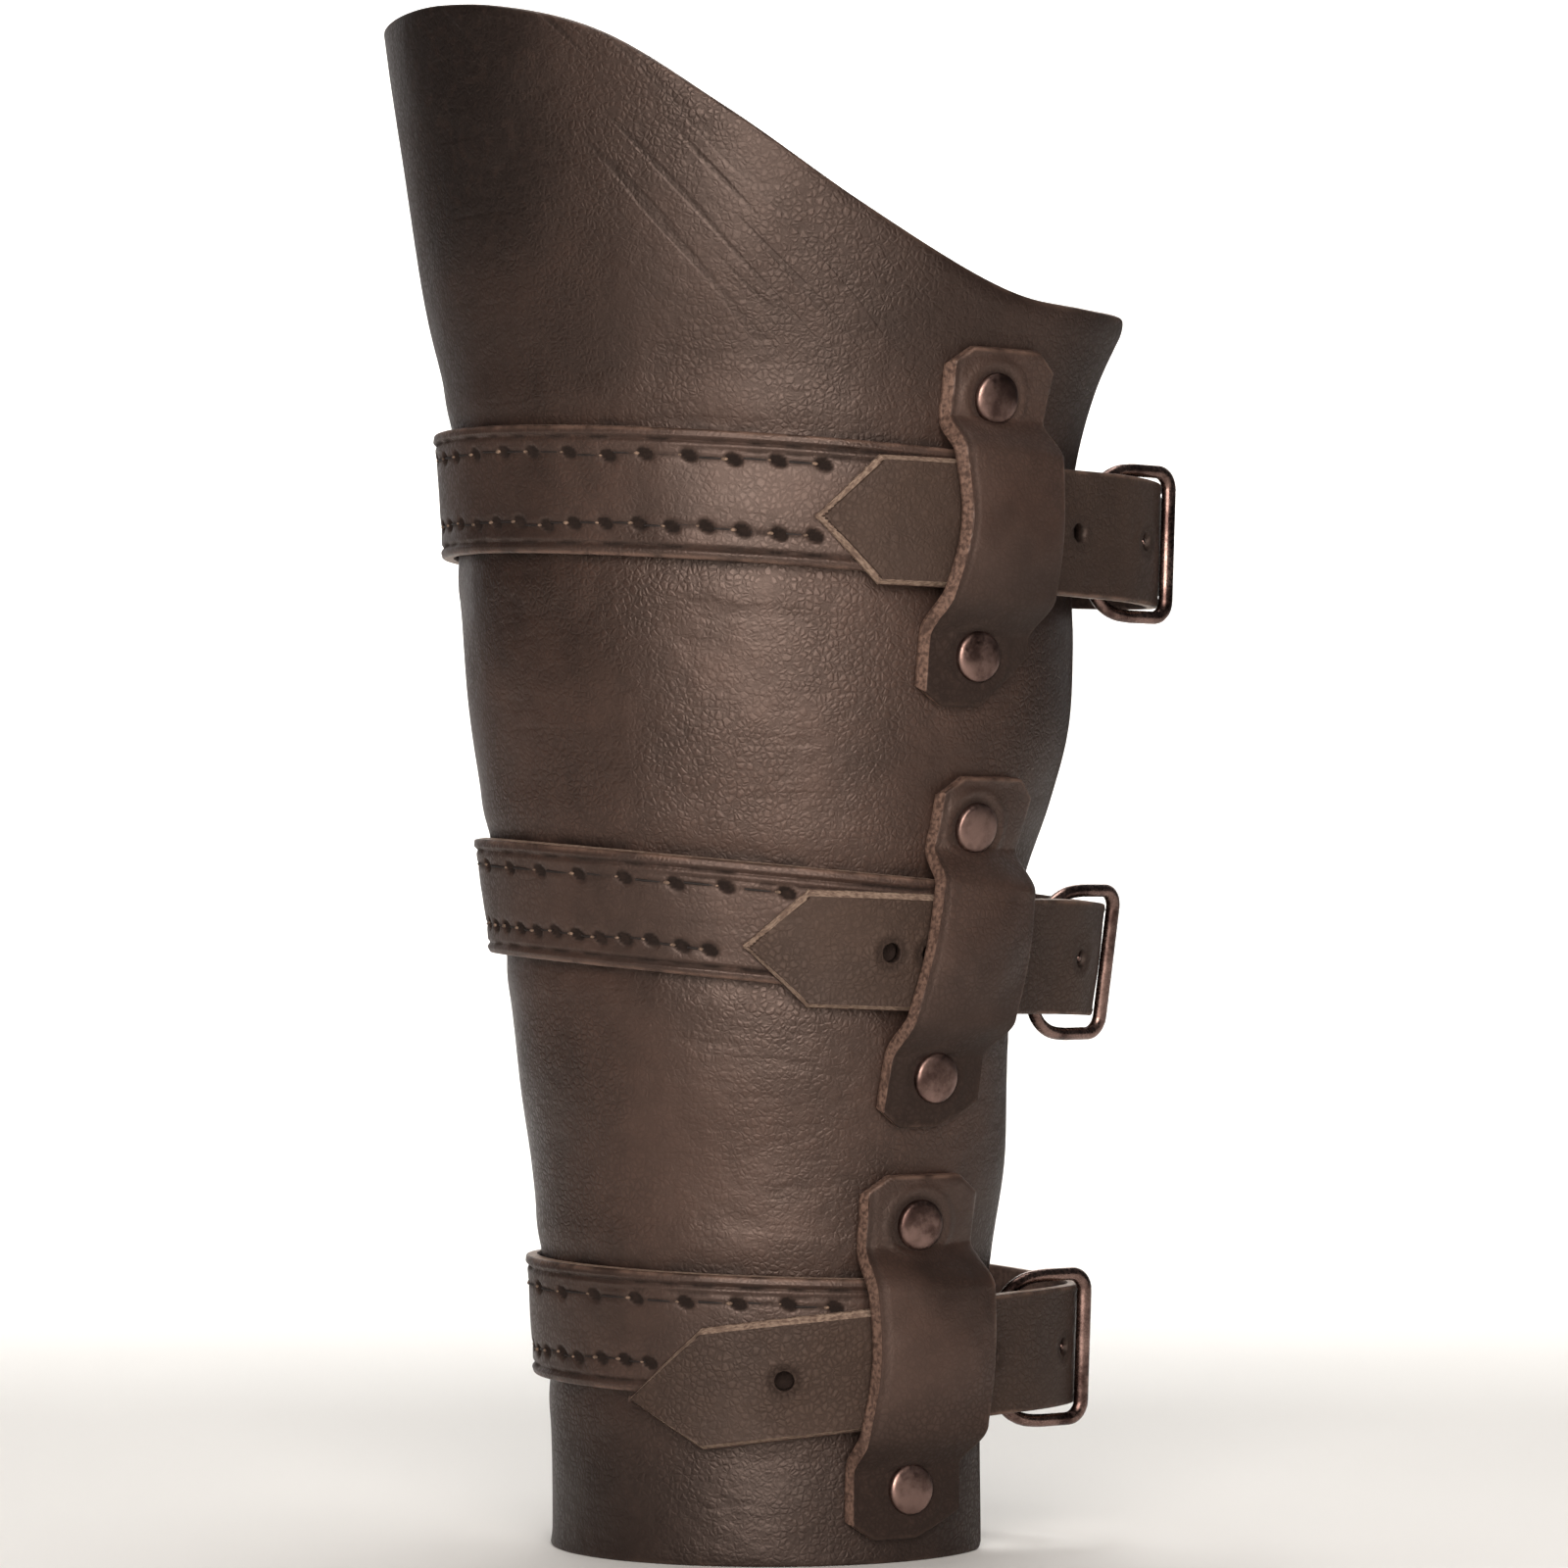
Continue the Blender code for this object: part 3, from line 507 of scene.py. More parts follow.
def grid_faces(rows, columns, start=0, turned=False):
    i, j = np.meshgrid(np.arange(rows - 1), np.arange(columns - 1), indexing="ij")
    a = start + i * columns + j
    quads = np.stack([a, a + columns, a + columns + 1, a + 1], axis=-1).reshape(-1, 4)
    return quads[:, ::-1] if turned else quads


def leather_slab(
    name, middle, normals, upper, lower, finishes, maps, flip=False, bare=None, cover=None
):
    """A sheet of leather on a grid of middle points. Upper and lower are its half thicknesses. Its
    faces take the grain, the cut edge and the flesh finish. Bare is true on points whose cut shows,
    and cover is true where the outer face takes the fourth finish."""
    rows, columns = middle.shape[:2]
    outer = (middle + normals * upper[..., None]).reshape(-1, 3)
    inner = (middle - normals * lower[..., None]).reshape(-1, 3)
    count = rows * columns
    faces = [grid_faces(rows, columns, 0, flip), grid_faces(rows, columns, count, not flip)]
    index = np.arange(count).reshape(rows, columns)
    ring = np.concatenate([index[0, :-1], index[:-1, -1], index[-1, :0:-1], index[:0:-1, 0]])
    after = np.roll(ring, -1)
    edge = np.stack([ring, after, after + count, ring + count], axis=-1)
    faces.append(edge[:, ::-1] if flip else edge)
    kinds = np.repeat([0, 2, 1], [len(part) for part in faces])
    for points, kind in ((cover, 3), (bare, 1)):
        if points is not None:
            kinds[: len(faces[0])][points.ravel()[faces[0]].all(axis=1)] = kind
    doubled = {title: np.concatenate([values.reshape(-1, 2)] * 2) for title, values in maps.items()}
    return loop_mesh(name, np.concatenate([outer, inner]), np.concatenate(faces), kinds, finishes, doubled)


def rounding_steps(radius):
    """Distances from an edge of the lines that draw its rounding."""
    return radius * (1 - np.cos(np.radians([0.0, 30.0, 60.0, 90.0])))


def rounded(distance, half, radius):
    """Half thickness at a distance from a rounded cut edge."""
    inside = np.clip(radius - distance, 0.0, radius)
    return half - radius + np.sqrt(np.maximum(radius**2 - inside**2, 0.0))


def edged_line(length, radius, count):
    """Distances along a length with close lines at both ends and count even steps between."""
    ends = rounding_steps(radius)
    inner = np.linspace(radius, length - radius, count + 1)[1:-1]
    return np.concatenate([ends, inner, (length - ends)[::-1]])


def outward_normals(grid, row, column):
    """Normals of a grid of points that face away from the arm at one of them, and whether the grid's
    own normals had to be turned for it."""
    normals = unit(np.cross(np.gradient(grid, axis=0), np.gradient(grid, axis=1)))
    spot = grid[row, column]
    turned = normals[row, column].dot(spot - np.array([CENTRE_X, 0.0, spot[2]])) < 0
    return (-normals if turned else normals), turned


def ripple(points, size, seed):
    """Smooth random height between -1 and 1, with waves of about a size in metres."""
    rng = np.random.default_rng(seed)
    total = np.zeros(points.shape[:-1])
    for _ in range(9):
        way = unit(rng.normal(size=3)) * rng.uniform(0.6, 1.4) * 2 * math.pi / size
        total += np.sin(points @ way + rng.uniform(0, 6.28))
    return total / 4.5


def tube(points, sides, across, radii, closed=False):
    """A wire along points. Across is each point's reference side, radii its two half widths."""
    points = np.asarray(points, float)
    if closed:
        tangents = unit(np.roll(points, -1, axis=0) - np.roll(points, 1, axis=0))
    else:
        tangents = unit(np.gradient(points, axis=0))
    first = unit(across - np.sum(across * tangents, axis=1, keepdims=True) * tangents)
    second = np.cross(tangents, first)
    turns = np.linspace(0, 2 * math.pi, sides, endpoint=False)
    ring = (
        first[:, None] * (np.cos(turns)[None, :, None] * radii[:, 0, None, None])
        + second[:, None] * (np.sin(turns)[None, :, None] * radii[:, 1, None, None])
    )
    verts = (points[:, None] + ring).reshape(-1, 3)
    count = len(points)
    i, j = np.meshgrid(np.arange(count if closed else count - 1), np.arange(sides), indexing="ij")
    a = i * sides + j
    b = ((i + 1) % count) * sides + j
    shift = (j + 1) % sides - j
    quads = np.stack([a, b, b + shift, a + shift], axis=-1).reshape(-1, 4)[:, ::-1]
    faces = [tuple(face) for face in quads]
    if not closed:
        faces.append(tuple(range(sides))[::-1])
        faces.append(tuple(range((count - 1) * sides, count * sides)))
    return verts, faces


def rounded_path(points, times, closed=False):
    """A polyline with its corners cut a number of times."""
    points = np.asarray(points, float)
    for _ in range(times):
        following = np.roll(points, -1, axis=0) if closed else points[1:]
        these = points if closed else points[:-1]
        pairs = np.stack([0.75 * these + 0.25 * following, 0.25 * these + 0.75 * following], axis=1)
        middle = pairs.reshape(-1, points.shape[1])
        points = middle if closed else np.concatenate([points[:1], middle, points[-1:]])
    return points


def plain_mesh(piece):
    """Turns a piece and its modifiers into a plain mesh."""
    graph = bpy.context.evaluated_depsgraph_get()
    mesh = bpy.data.meshes.new_from_object(piece.evaluated_get(graph), depsgraph=graph)
    piece.modifiers.clear()
    old = piece.data
    piece.data = mesh
    bpy.data.meshes.remove(old)
    return piece


def cut_out(piece, holes, radius, finish, slot):
    """Cuts round holes, given by their two ends, and a slot, given by its points and faces."""
    shapes = []
    for start, end in holes:
        side = unit(np.cross(end - start, UP + 0.01))
        shapes.append(tube([start, end], 20, np.array([side, side]), np.full((2, 2), radius)))
    verts, faces = [], []
    for points, sides in [*shapes, slot]:
        faces += [tuple(np.array(face) + len(verts)) for face in sides]
        verts += list(points)
    cutter = loop_mesh("cutter", verts, faces, np.zeros(len(faces)), [finish])
    modifier = piece.modifiers.new("holes", "BOOLEAN")
    modifier.operation = "DIFFERENCE"
    modifier.solver = "EXACT"
    modifier.material_mode = "TRANSFER"
    modifier.object = cutter
    plain_mesh(piece)
    bpy.data.objects.remove(cutter, do_unlink=True)
    return piece


# Material tools
def add(tree, kind, inputs=None, **settings):
    """Adds a node, with its settings, and its inputs as values or as links from sockets."""
    node = tree.nodes.new(kind)
    for key, value in settings.items():
        setattr(node, key, value)
    for key, value in (inputs or {}).items():
        if isinstance(value, bpy.types.NodeSocket):
            tree.links.new(value, node.inputs[key])
        else:
            node.inputs[key].default_value = value
    return node


def blank_material(name):
    """An empty material, its node tree and the coordinates of the object."""
    finish = bpy.data.materials.new(name)
    finish.use_nodes = True
    tree = finish.node_tree
    tree.nodes.clear()
    return finish, tree, add(tree, "ShaderNodeTexCoord").outputs["Object"]


def blend_colours(tree, share, first, second):
    node = add(tree, "ShaderNodeMix", data_type="RGBA")
    for socket, value in ((node.inputs[0], share), (node.inputs[6], first), (node.inputs[7], second)):
        if isinstance(value, bpy.types.NodeSocket):
            tree.links.new(value, socket)
        else:
            socket.default_value = value
    return node.outputs[2]


def math_node(tree, way, first, second=0.0, third=0.0):
    return add(tree, "ShaderNodeMath", {0: first, 1: second, 2: third}, operation=way).outputs[0]


def times(tree, first, second):
    return math_node(tree, "MULTIPLY", first, second)


def between(tree, value, low, high, to_low=0.0, to_high=1.0):
    """Maps a value smoothly from one range to another."""
    inputs = {"Value": value, "From Min": low, "From Max": high, "To Min": to_low, "To Max": to_high}
    return add(tree, "ShaderNodeMapRange", inputs, interpolation_type="SMOOTHSTEP").outputs[0]


def finish_surface(tree, inputs, height=None):
    """Principled shader and output. Height is a bump in millimetres."""
    shader = add(tree, "ShaderNodeBsdfPrincipled", inputs)
    if height is not None:
        bump = add(tree, "ShaderNodeBump", {"Height": height, "Distance": 0.001})
        tree.links.new(bump.outputs[0], shader.inputs["Normal"])
    add(tree, "ShaderNodeOutputMaterial", {"Surface": shader.outputs[0]})
    return shader


def noise(tree, place, size, detail=3.0, rough=0.5, coloured=False):
    """Noise with spots of about a size in metres."""
    inputs = {"Vector": place, "Scale": 1 / size, "Detail": detail, "Roughness": rough}
    return add(tree, "ShaderNodeTexNoise", inputs).outputs[1 if coloured else 0]


def cells(tree, place, size, feature):
    """Pebbles of about a size in metres."""
    inputs = {"Vector": place, "Scale": 1 / size, "Randomness": 1.0}
    return add(tree, "ShaderNodeTexVoronoi", inputs, feature=feature).outputs[0]


def warped(tree, place, size, reach):
    """Coordinates bent by noise, so that pebbles don't look like honeycomb."""
    bent = add(tree, "ShaderNodeMix", {0: reach}, data_type="VECTOR")
    tree.links.new(place, bent.inputs[4])
    tree.links.new(noise(tree, place, size, 2.0, coloured=True), bent.inputs[5])
    return bent.outputs[1]


def raised(tree, height, *layers):
    """Adds layers of relief, each a value and its height in millimetres, to a height."""
    for value, millimetres in layers:
        height = math_node(tree, "MULTIPLY_ADD", value, millimetres, height)
    return height


# Sizes of the patterns, in metres
DYE_PATCH = 0.03846
MOTTLE = 0.004762
OPEN_PATCH = 0.025
WAX_SPECK = 0.002381
WRINKLE_LENGTH = 0.014286
WRINKLE_SPACING = 0.003846
CREASE_SPACING = 0.0030
CREASE_LENGTH = 0.06
FIBRE = 0.00076923
FRAYED_SPOT = 0.0026316
NAP = 0.00090909
FLESH_PATCH = 0.016667
THREAD_PLY = 0.00055556
PATINA_BLOTCH = 0.0066667
RUB_MARK = 0.00066667
PAPER_CLOUD = 0.3333

# Half breadth of the creased strip, and the heights between which it fades in
CREASED_STRIP = (0.006, 0.014)
CREASED_FROM = (0.215, 0.25)

WARM_SHEEN = "ffe2d4"
# Dark wax and painted shade in the grain's folds, and painted shade in the slanted creases
WAX_AND_SHADE_IN_FOLDS = "140e0b"
# Dark wax and painted shade for the marked parts: pressed lines, shadow lines, shaded stretches, holes and
# grooves
DARK_WAX_AND_SHADE = "0c0706"


def slanted_creases(tree, place):
    """0 in the long fine creases that slant down across the flare, and 1 beside them."""
    spacing = (CREASE_SPACING, CREASE_LENGTH, CREASE_LENGTH)
    lined = {"Vector": place, "Rotation": (0.0, CREASE_TURN, 0.0), "Scale": spacing}
    lines = noise(tree, add(tree, "ShaderNodeMapping", lined, vector_type="TEXTURE").outputs[0], 1.0, 1.0)
    way = (math.cos(CREASE_TURN), 0.0, -math.sin(CREASE_TURN))
    aside = add(tree, "ShaderNodeVectorMath", {0: place, 1: way}, operation="DOT_PRODUCT").outputs["Value"]
    aside = math_node(tree, "SUBTRACT", aside, Vector(CREASE_MIDDLE).dot(way))
    outside = between(tree, math_node(tree, "ABSOLUTE", aside), *CREASED_STRIP)
    height = add(tree, "ShaderNodeSeparateXYZ", {0: place}).outputs[2]
    below = between(tree, height, *CREASED_FROM, 1.0, 0.0)
    plain = math_node(tree, "MAXIMUM", outside, below)
    return math_node(tree, "MAXIMUM", between(tree, lines, 0.36, 0.47), plain)


def waxed_leather(name, tones, edge, grain, relief, gloss, dusty):
    """Vegetable-tanned leather, dyed through and waxed. The dye lies unevenly, so it is mottled, and the
    pebbled grain catches a soft warm sheen on its rounded tops, with darker wax and painted shade in the
    folds between and painted shade in the slanted creases. Tones are its deep and its rubbed dye, gloss is
    its roughness, and dusty is how matt its stained and shaded parts are."""
    finish, tree, place = blank_material(name)
    wear = add(tree, "ShaderNodeUVMap", uv_map="wear").outputs[0]
    from_edge, stain_and_shade = add(tree, "ShaderNodeSeparateXYZ", {0: wear}).outputs[:2]
    bent = warped(tree, place, grain / 0.45, 0.0016)
    pebbles = between(tree, cells(tree, bent, grain, "DISTANCE_TO_EDGE"), 0.0, 0.3)
    swells = cells(tree, bent, grain / 0.42, "SMOOTH_F1")
    pores = noise(tree, place, grain / 2.4)
    patches = noise(tree, place, DYE_PATCH)
    mottle = noise(tree, place, MOTTLE, 4.0)
    # The grain lies open in patches
    openness = between(tree, noise(tree, place, OPEN_PATCH, 2.0), 0.38, 0.62, 0.45, 1.0)
    # Short soft wrinkles run round the arm
    spacing = (1 / WRINKLE_LENGTH, 1 / WRINKLE_LENGTH, 1 / WRINKLE_SPACING)
    flat = add(tree, "ShaderNodeMapping", {"Vector": place, "Scale": spacing}).outputs[0]
    wrinkles = between(tree, noise(tree, flat, 1.0, 2.0), 0.30, 0.48)
    slanted = slanted_creases(tree, place)

    tone = between(tree, patches, 0.36, 0.64)
    tone = math_node(tree, "MULTIPLY_ADD", between(tree, mottle, 0.3, 0.7), 0.4, tone)
    tone = math_node(tree, "MULTIPLY_ADD", tone, 0.42, 0.2)
    base = blend_colours(tree, tone, *tones)
    # Dark wax and painted shade in the grain's folds, and painted shade in the slanted creases
    in_folds = times(tree, math_node(tree, "SUBTRACT", 1.0, pebbles), openness)
    in_creases = math_node(tree, "MULTIPLY_ADD", slanted, -0.6, 0.6)
    for share in (times(tree, in_folds, 0.4), in_creases):
        base = blend_colours(tree, share, base, colour(WAX_AND_SHADE_IN_FOLDS))
    # The dye is rubbed thin within 1 mm of an edge, unevenly
    near_edge = between(tree, from_edge, 0.0002, 0.0010, 1.0, 0.0)
    rubbed = times(tree, near_edge, between(tree, mottle, 0.35, 0.62, 0.05, 0.5))
    base = blend_colours(tree, rubbed, base, edge)
    # Dark wax and painted shade where the map marks them: the pressed lines, the shadow lines, the shaded
    # stretches, the holes and the grooves
    specks = between(tree, noise(tree, place, WAX_SPECK), 0.3, 0.5, 0.75, 1.0)
    base = blend_colours(tree, times(tree, stain_and_shade, specks), base, colour(DARK_WAX_AND_SHADE))

    open_pebbles = times(tree, pebbles, openness)
    height = raised(
        tree,
        times(tree, open_pebbles, 0.10 * relief),
        (swells, -0.16 * relief),
        (pores, 0.07 * relief),
        (mottle, 0.22 * relief),
        (wrinkles, 0.09 * relief),
        (slanted, 0.16 * relief),
    )
    rough = between(tree, patches, 0.3, 0.7, gloss - 0.05, gloss + 0.07)
    rough = math_node(tree, "MULTIPLY_ADD", in_folds, 0.15, rough)
    rough = math_node(tree, "MULTIPLY_ADD", stain_and_shade, dusty, rough)
    inputs = {"Base Color": base, "Roughness": rough, "Specular Tint": colour(WARM_SHEEN)}
    finish_surface(tree, {**inputs, "Specular IOR Level": 0.52}, height)
    return finish


def burnished_edge(name, tone, shade):
    """A cut leather edge, rubbed with a bone and wax: paler than the dyed face, with short fibres in it."""
    finish, tree, place = blank_material(name)
    fibres = noise(tree, place, FIBRE, 4.0)
    rough_spots = noise(tree, place, FRAYED_SPOT)
    base = blend_colours(tree, between(tree, fibres, 0.3, 0.68, 0.0, 0.9), shade, tone)
    base = blend_colours(tree, between(tree, rough_spots, 0.55, 0.66, 0.0, 0.7), base, shade)
    height = times(tree, fibres, 0.12)
    inputs = {"Base Color": base, "Roughness": 0.55, "Specular Tint": colour(WARM_SHEEN)}
    finish_surface(tree, inputs, height)
    return finish


def flesh_side(name, tone):
    """The unfinished inner side of leather: matt, napped and a little paler."""
    finish, tree, place = blank_material(name)
    nap = noise(tree, place, NAP, 5.0)
    patches = noise(tree, place, FLESH_PATCH, 4.0)
    base = blend_colours(tree, between(tree, patches, 0.3, 0.7), colour("3f312b"), tone)
    base = blend_colours(tree, between(tree, nap, 0.35, 0.65, 0.0, 0.5), base, colour("2e231f"))
    height = times(tree, nap, 0.3)
    finish_surface(tree, {"Base Color": base, "Roughness": 0.88, "Specular IOR Level": 0.25}, height)
    return finish


def waxed_thread(name, tone):
    """Waxed linen thread: a soft sheen over fine twisted plies."""
    finish, tree, place = blank_material(name)
    plies = noise(tree, place, THREAD_PLY, 2.0)
    between_plies = between(tree, plies, 0.35, 0.65, 0.0, 0.6)
    base = blend_colours(tree, between_plies, tone, colour("1a1310"))
    height = times(tree, plies, 0.15)
    finish_surface(tree, {"Base Color": base, "Roughness": 0.7, "Specular IOR Level": 0.3}, height)
    return finish


def antiqued_brass(name, metal, patina, share, rough):
    """Brass plated dark and rubbed back: bright and brown-black in random blotches,
    with fine marks that break up its shine."""
    finish, tree, place = blank_material(name)
    blotches = noise(tree, place, PATINA_BLOTCH, 5.0, 0.6)
    marks = noise(tree, place, RUB_MARK)
    dark = between(tree, blotches, 0.4, 0.66, share, min(1.0, share + 0.45))
    base = blend_colours(tree, dark, metal, patina)
    roughness = between(tree, marks, 0.3, 0.7, rough - 0.07, rough + 0.1)
    height = times(tree, blotches, 0.06)
    finish_surface(tree, {"Base Color": base, "Metallic": 1.0, "Roughness": roughness}, height)
    return finish


def paper_floor(name, tone):
    """Matt white background paper with a barely uneven tone."""
    finish, tree, place = blank_material(name)
    cloud = between(tree, noise(tree, place, PAPER_CLOUD, 2.0), 0.3, 0.7, 0.0, 0.25)
    base = blend_colours(tree, cloud, tone, colour("e2e0dc"))
    finish_surface(tree, {"Base Color": base, "Roughness": 0.9, "Specular IOR Level": 0.2})
    return finish


def chosen(title):
    """One of the user's colours."""
    return tuple(getattr(bpy.context.scene.vambrace_colours, title))


def finishes():
    """The leather finishes and the metal, made once."""
    if "wall_leather_waxed" not in bpy.data.materials:
        grain = bpy.context.scene.vambrace_sizes.grain
        edge, metal, patina = chosen("cut_edge"), chosen("metal"), chosen("patina")
        wall = (chosen("wall_dark"), chosen("wall_light"))
        strap = (chosen("strap_dark"), chosen("strap_light"))
        tongue = (chosen("strap_dark"), chosen("tongue_light"))
        waxed_leather("wall_leather_waxed", wall, edge, grain, relief=0.62, gloss=0.37, dusty=0.1)
        waxed_leather("strap_leather_waxed", strap, edge, grain, relief=0.4, gloss=0.40, dusty=0.6)
        waxed_leather("strap_leather_dull", tongue, edge, grain, relief=0.7, gloss=0.58, dusty=0.4)
        burnished_edge("leather_edge_burnished", edge, colour("3a2b25"))
        # The tongues' skived cut: the raw cut is pale, and this copy is made paler still as painted light
        burnished_edge("leather_edge_pale", colour("a8917f"), colour("6a564b"))
        # The walls of the punched holes and of the slot take a near-black cut edge: painted shade
        burnished_edge("leather_hole_waxed", colour("241a16"), colour("0e0a08"))
        flesh_side("leather_flesh_side", chosen("flesh"))
        waxed_thread("linen_thread_waxed", chosen("thread"))
        # The paler thread of the ends is a painted highlight
        waxed_thread("linen_thread_end", chosen("thread_end"))
        antiqued_brass("brass_wire_antiqued", metal, patina, share=0.45, rough=0.27)
        antiqued_brass("brass_cap_antiqued", metal, patina, share=0.42, rough=0.38)
    return bpy.data.materials


def leather_set(grain_side, cut_edge, *others):
    """The finishes of a piece: its grain side, its cut edge, the flesh side and any others."""
    made = finishes()
    return [made[name] for name in (grain_side, cut_edge, "leather_flesh_side", *others)]


def rubbed_and_shaded_map(from_edge, stain_and_shade):
    return {"wear": np.stack([from_edge, stain_and_shade], axis=-1)}


# The wall
WALL_COLUMNS = 190
WALL_ROWS = 214

# Distances from a free corner, as shares of its radius, where the wall's columns lie closer together
CORNER_COLUMNS = (0.2, 0.35, 0.5, 0.7, 1.0)

# The wrist's corners are rounded by this share of the elbow's, and the inner face is dented by this
# share of the outer one
WRIST_CORNER = 0.4
INNER_DENTS = 0.8

# A free edge is this share of the elbow's half width from the middle of the arm
SIDE_REACH = 0.8

# Dents beside a strap and a rivet, in metres: pressed in under the strap and a little past it, raised
# beside that, and drawn in round a rivet
PINCH, PINCH_REACH = 0.00025, 0.004
BULGE, BULGE_AT, BULGE_BREADTH = 0.00018, 0.006, 0.003
RIVET_DENT, RIVET_DENT_REACH = 0.0002, 0.014

# Over this distance from an edge the dents fade in
DENT_FADE = 0.003

# Painted shade over the dye: its strength, where it starts and over what distance it comes in. The side's
# start and reach are degrees from the front free edge, and the others are heights in metres
Shade = namedtuple("Shade", "strength start reach")
FLARE_SHADE = Shade(0.98, 0.222, 0.035)
FLARE_TURN, FLARE_SPAN = -53, 26
HEM_SHADE = Shade(0.8, 0.014, 0.026)
SIDE_SHADE = Shade(0.7, 0.0, 26.0)
UPPER_SHADE = Shade(0.52, 0.198, 0.03)
MOST_SHADE = 0.85

# The painted shadow line on the wall along a strap: its strength, and its distance from the strap and its
# breadth
SHADOW_LINE, SHADOW_LINE_AT, SHADOW_LINE_BREADTH = 0.9, 0.0004, 0.0012

# Soft relief: its height, the size of its waves in metres and the seed of its random draws
Waves = namedtuple("Waves", "height size seed")
WALL_WAVES = (Waves(0.00035, 0.075, 3), Waves(0.00014, 0.022, 5))
STRAP_WAVES = (Waves(0.00010, 0.016, 11), Waves(0.00012, 0.04, 12))
KEEPER_WAVES = (Waves(0.00022, 0.03, 21), Waves(0.00012, 0.009, 22))


def swell(distance, breadth):
    """1 at no distance, and a soft fall to nothing past about a breadth."""
    return np.exp(-((distance / breadth) ** 2))


def uneven(points, waves):
    """Height of soft random waves of several sizes."""
    return sum(wave.height * ripple(points, wave.size, wave.seed) for wave in waves)


def broken_line(points, size, seed, middle, sharpness):
    """A share that rises and falls unevenly along a line, so that it isn't drawn in one stroke."""
    return middle + (1 - middle) * np.clip(sharpness * ripple(points, size, seed), -1, 1)


def build_wall():
    sizes = bpy.context.scene.vambrace_sizes
    radius = sizes.edge_rounding
    corner = math.degrees(CORNER_RADIUS / ELBOW_HALF_WIDTH)
    ends = np.degrees(rounding_steps(radius) / ELBOW_HALF_WIDTH)
    ends = np.concatenate([ends, corner * np.array(CORNER_COLUMNS)])
    inner = np.linspace(BACK_EDGE + corner, FRONT_EDGE - corner, WALL_COLUMNS)[1:-1]
    thetas = np.concatenate([BACK_EDGE + ends, inner, (FRONT_EDGE - ends)[::-1]])
    levels, from_rim = [], []
    for theta in thetas:
        edge = min(theta - BACK_EDGE, FRONT_EDGE - theta) / corner
        bend = CORNER_RADIUS * (1 - math.sqrt(max(0.0, 1 - (1 - min(edge, 1.0)) ** 2)))
        low, high = WRIST_CORNER * bend, rim_height(theta) - bend
        line = edged_line(high - low, radius, WALL_ROWS)
        levels.append(low + line)
        from_rim.append(np.minimum(line, high - low - line))
    levels = np.array(levels)
    turns = np.repeat(thetas[:, None], levels.shape[1], axis=1)
    outer = skin(turns, levels)
    normals = outward(turns, levels)
    from_side = np.radians(np.minimum(turns - BACK_EDGE, FRONT_EDGE - turns))
    from_side = from_side * ELBOW_HALF_WIDTH * SIDE_REACH
    from_edge = np.minimum(np.array(from_rim), from_side)
    dress = dents(turns, levels, outer) * ease(from_edge / DENT_FADE)
    half = rounded(from_edge, WALL / 2, radius)
    piece = leather_slab(
        "wall_leather",
        outer - normals * WALL / 2,
        normals,
        half + dress,
        half - dress * INNER_DENTS,
        leather_set("wall_leather_waxed", "leather_edge_burnished"),
        rubbed_and_shaded_map(from_edge, painted_shade(turns, levels, outer)),
    )
    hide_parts("shell")
    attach(piece, "root")
    return piece


def painted_shade(turns, levels, outer):
    """Painted shade on the wall: a shadow line along each strap, broken here and there, and darker
    stretches.
    """
    marks = np.zeros_like(levels)
    # A painted shadow line runs along both edges of each strap, broken here and there
    broken = broken_line(outer, size=0.009, seed=6, middle=0.55, sharpness=2)
    for belt in BELTS:
        away = np.abs(levels - band_level(belt, turns)) - half_width(belt)
        marks = np.maximum(marks, SHADOW_LINE * broken * swell(away - SHADOW_LINE_AT, SHADOW_LINE_BREADTH))
    # Painted shade is deepest on the left of the flare, and also darkens the wrist, the side beside the
    # opening and the upper wall
    flare = FLARE_SHADE.strength * np.exp(-(((turns - FLARE_TURN) / FLARE_SPAN) ** 4))
    flare = flare * ease((levels - FLARE_SHADE.start) / FLARE_SHADE.reach)
    hem = HEM_SHADE.strength * ease(1 - (levels - HEM_SHADE.start) / HEM_SHADE.reach)
    side = SIDE_SHADE.strength * ease(1 - (FRONT_EDGE - turns) / SIDE_SHADE.reach)
    upper = UPPER_SHADE.strength * ease((levels - UPPER_SHADE.start) / UPPER_SHADE.reach)
    return np.maximum(marks, np.maximum(flare, np.minimum(hem + side + upper, MOST_SHADE)))


def dents(turns, levels, outer):
    """Height of the wall's dents and swells, in metres: soft waves, the pinch beside each belt and the
    drawn-in spots at the keepers' rivets."""
    height = uneven(outer, WALL_WAVES)
    for belt in BELTS:
        away = np.abs(levels - band_level(belt, turns)) - half_width(belt)
        height -= PINCH * ease(1 - away / PINCH_REACH)
        height += BULGE * swell(away - BULGE_AT, BULGE_BREADTH)
        for theta, level in keeper_levels(belt, PLACES[belt.name]):
            spot = np.linalg.norm(outer - skin(theta, level), axis=-1)
            height -= RIVET_DENT * ease(1 - spot / RIVET_DENT_REACH)
    return height


# The belts

# Stretches of a belt, in the order of its rows: the folded end and the lower layer beside the
# buckle, the stitched layer on the wall, the free run behind, the buckle and the tongue
FOLDED, STITCHED, BEHIND, BUCKLED, TONGUE = range(5)

# Rows of the belt's parts: the fold, its bend round the inner bar, the layer to the wall, the wall in
# front and behind, the run to the outer bar, the buckle, the run back to the wall, the tongue, its point
FOLD_ROWS, BEND_ROWS, LAYER_ROWS, FRONT_ROWS, BACK_ROWS = 18, 26, 20, 350, 165
BEHIND_ROWS, BUCKLE_ROWS, RETURN_ROWS, TONGUE_ROWS, POINT_ROWS = 62, 26, 14, 84, 24

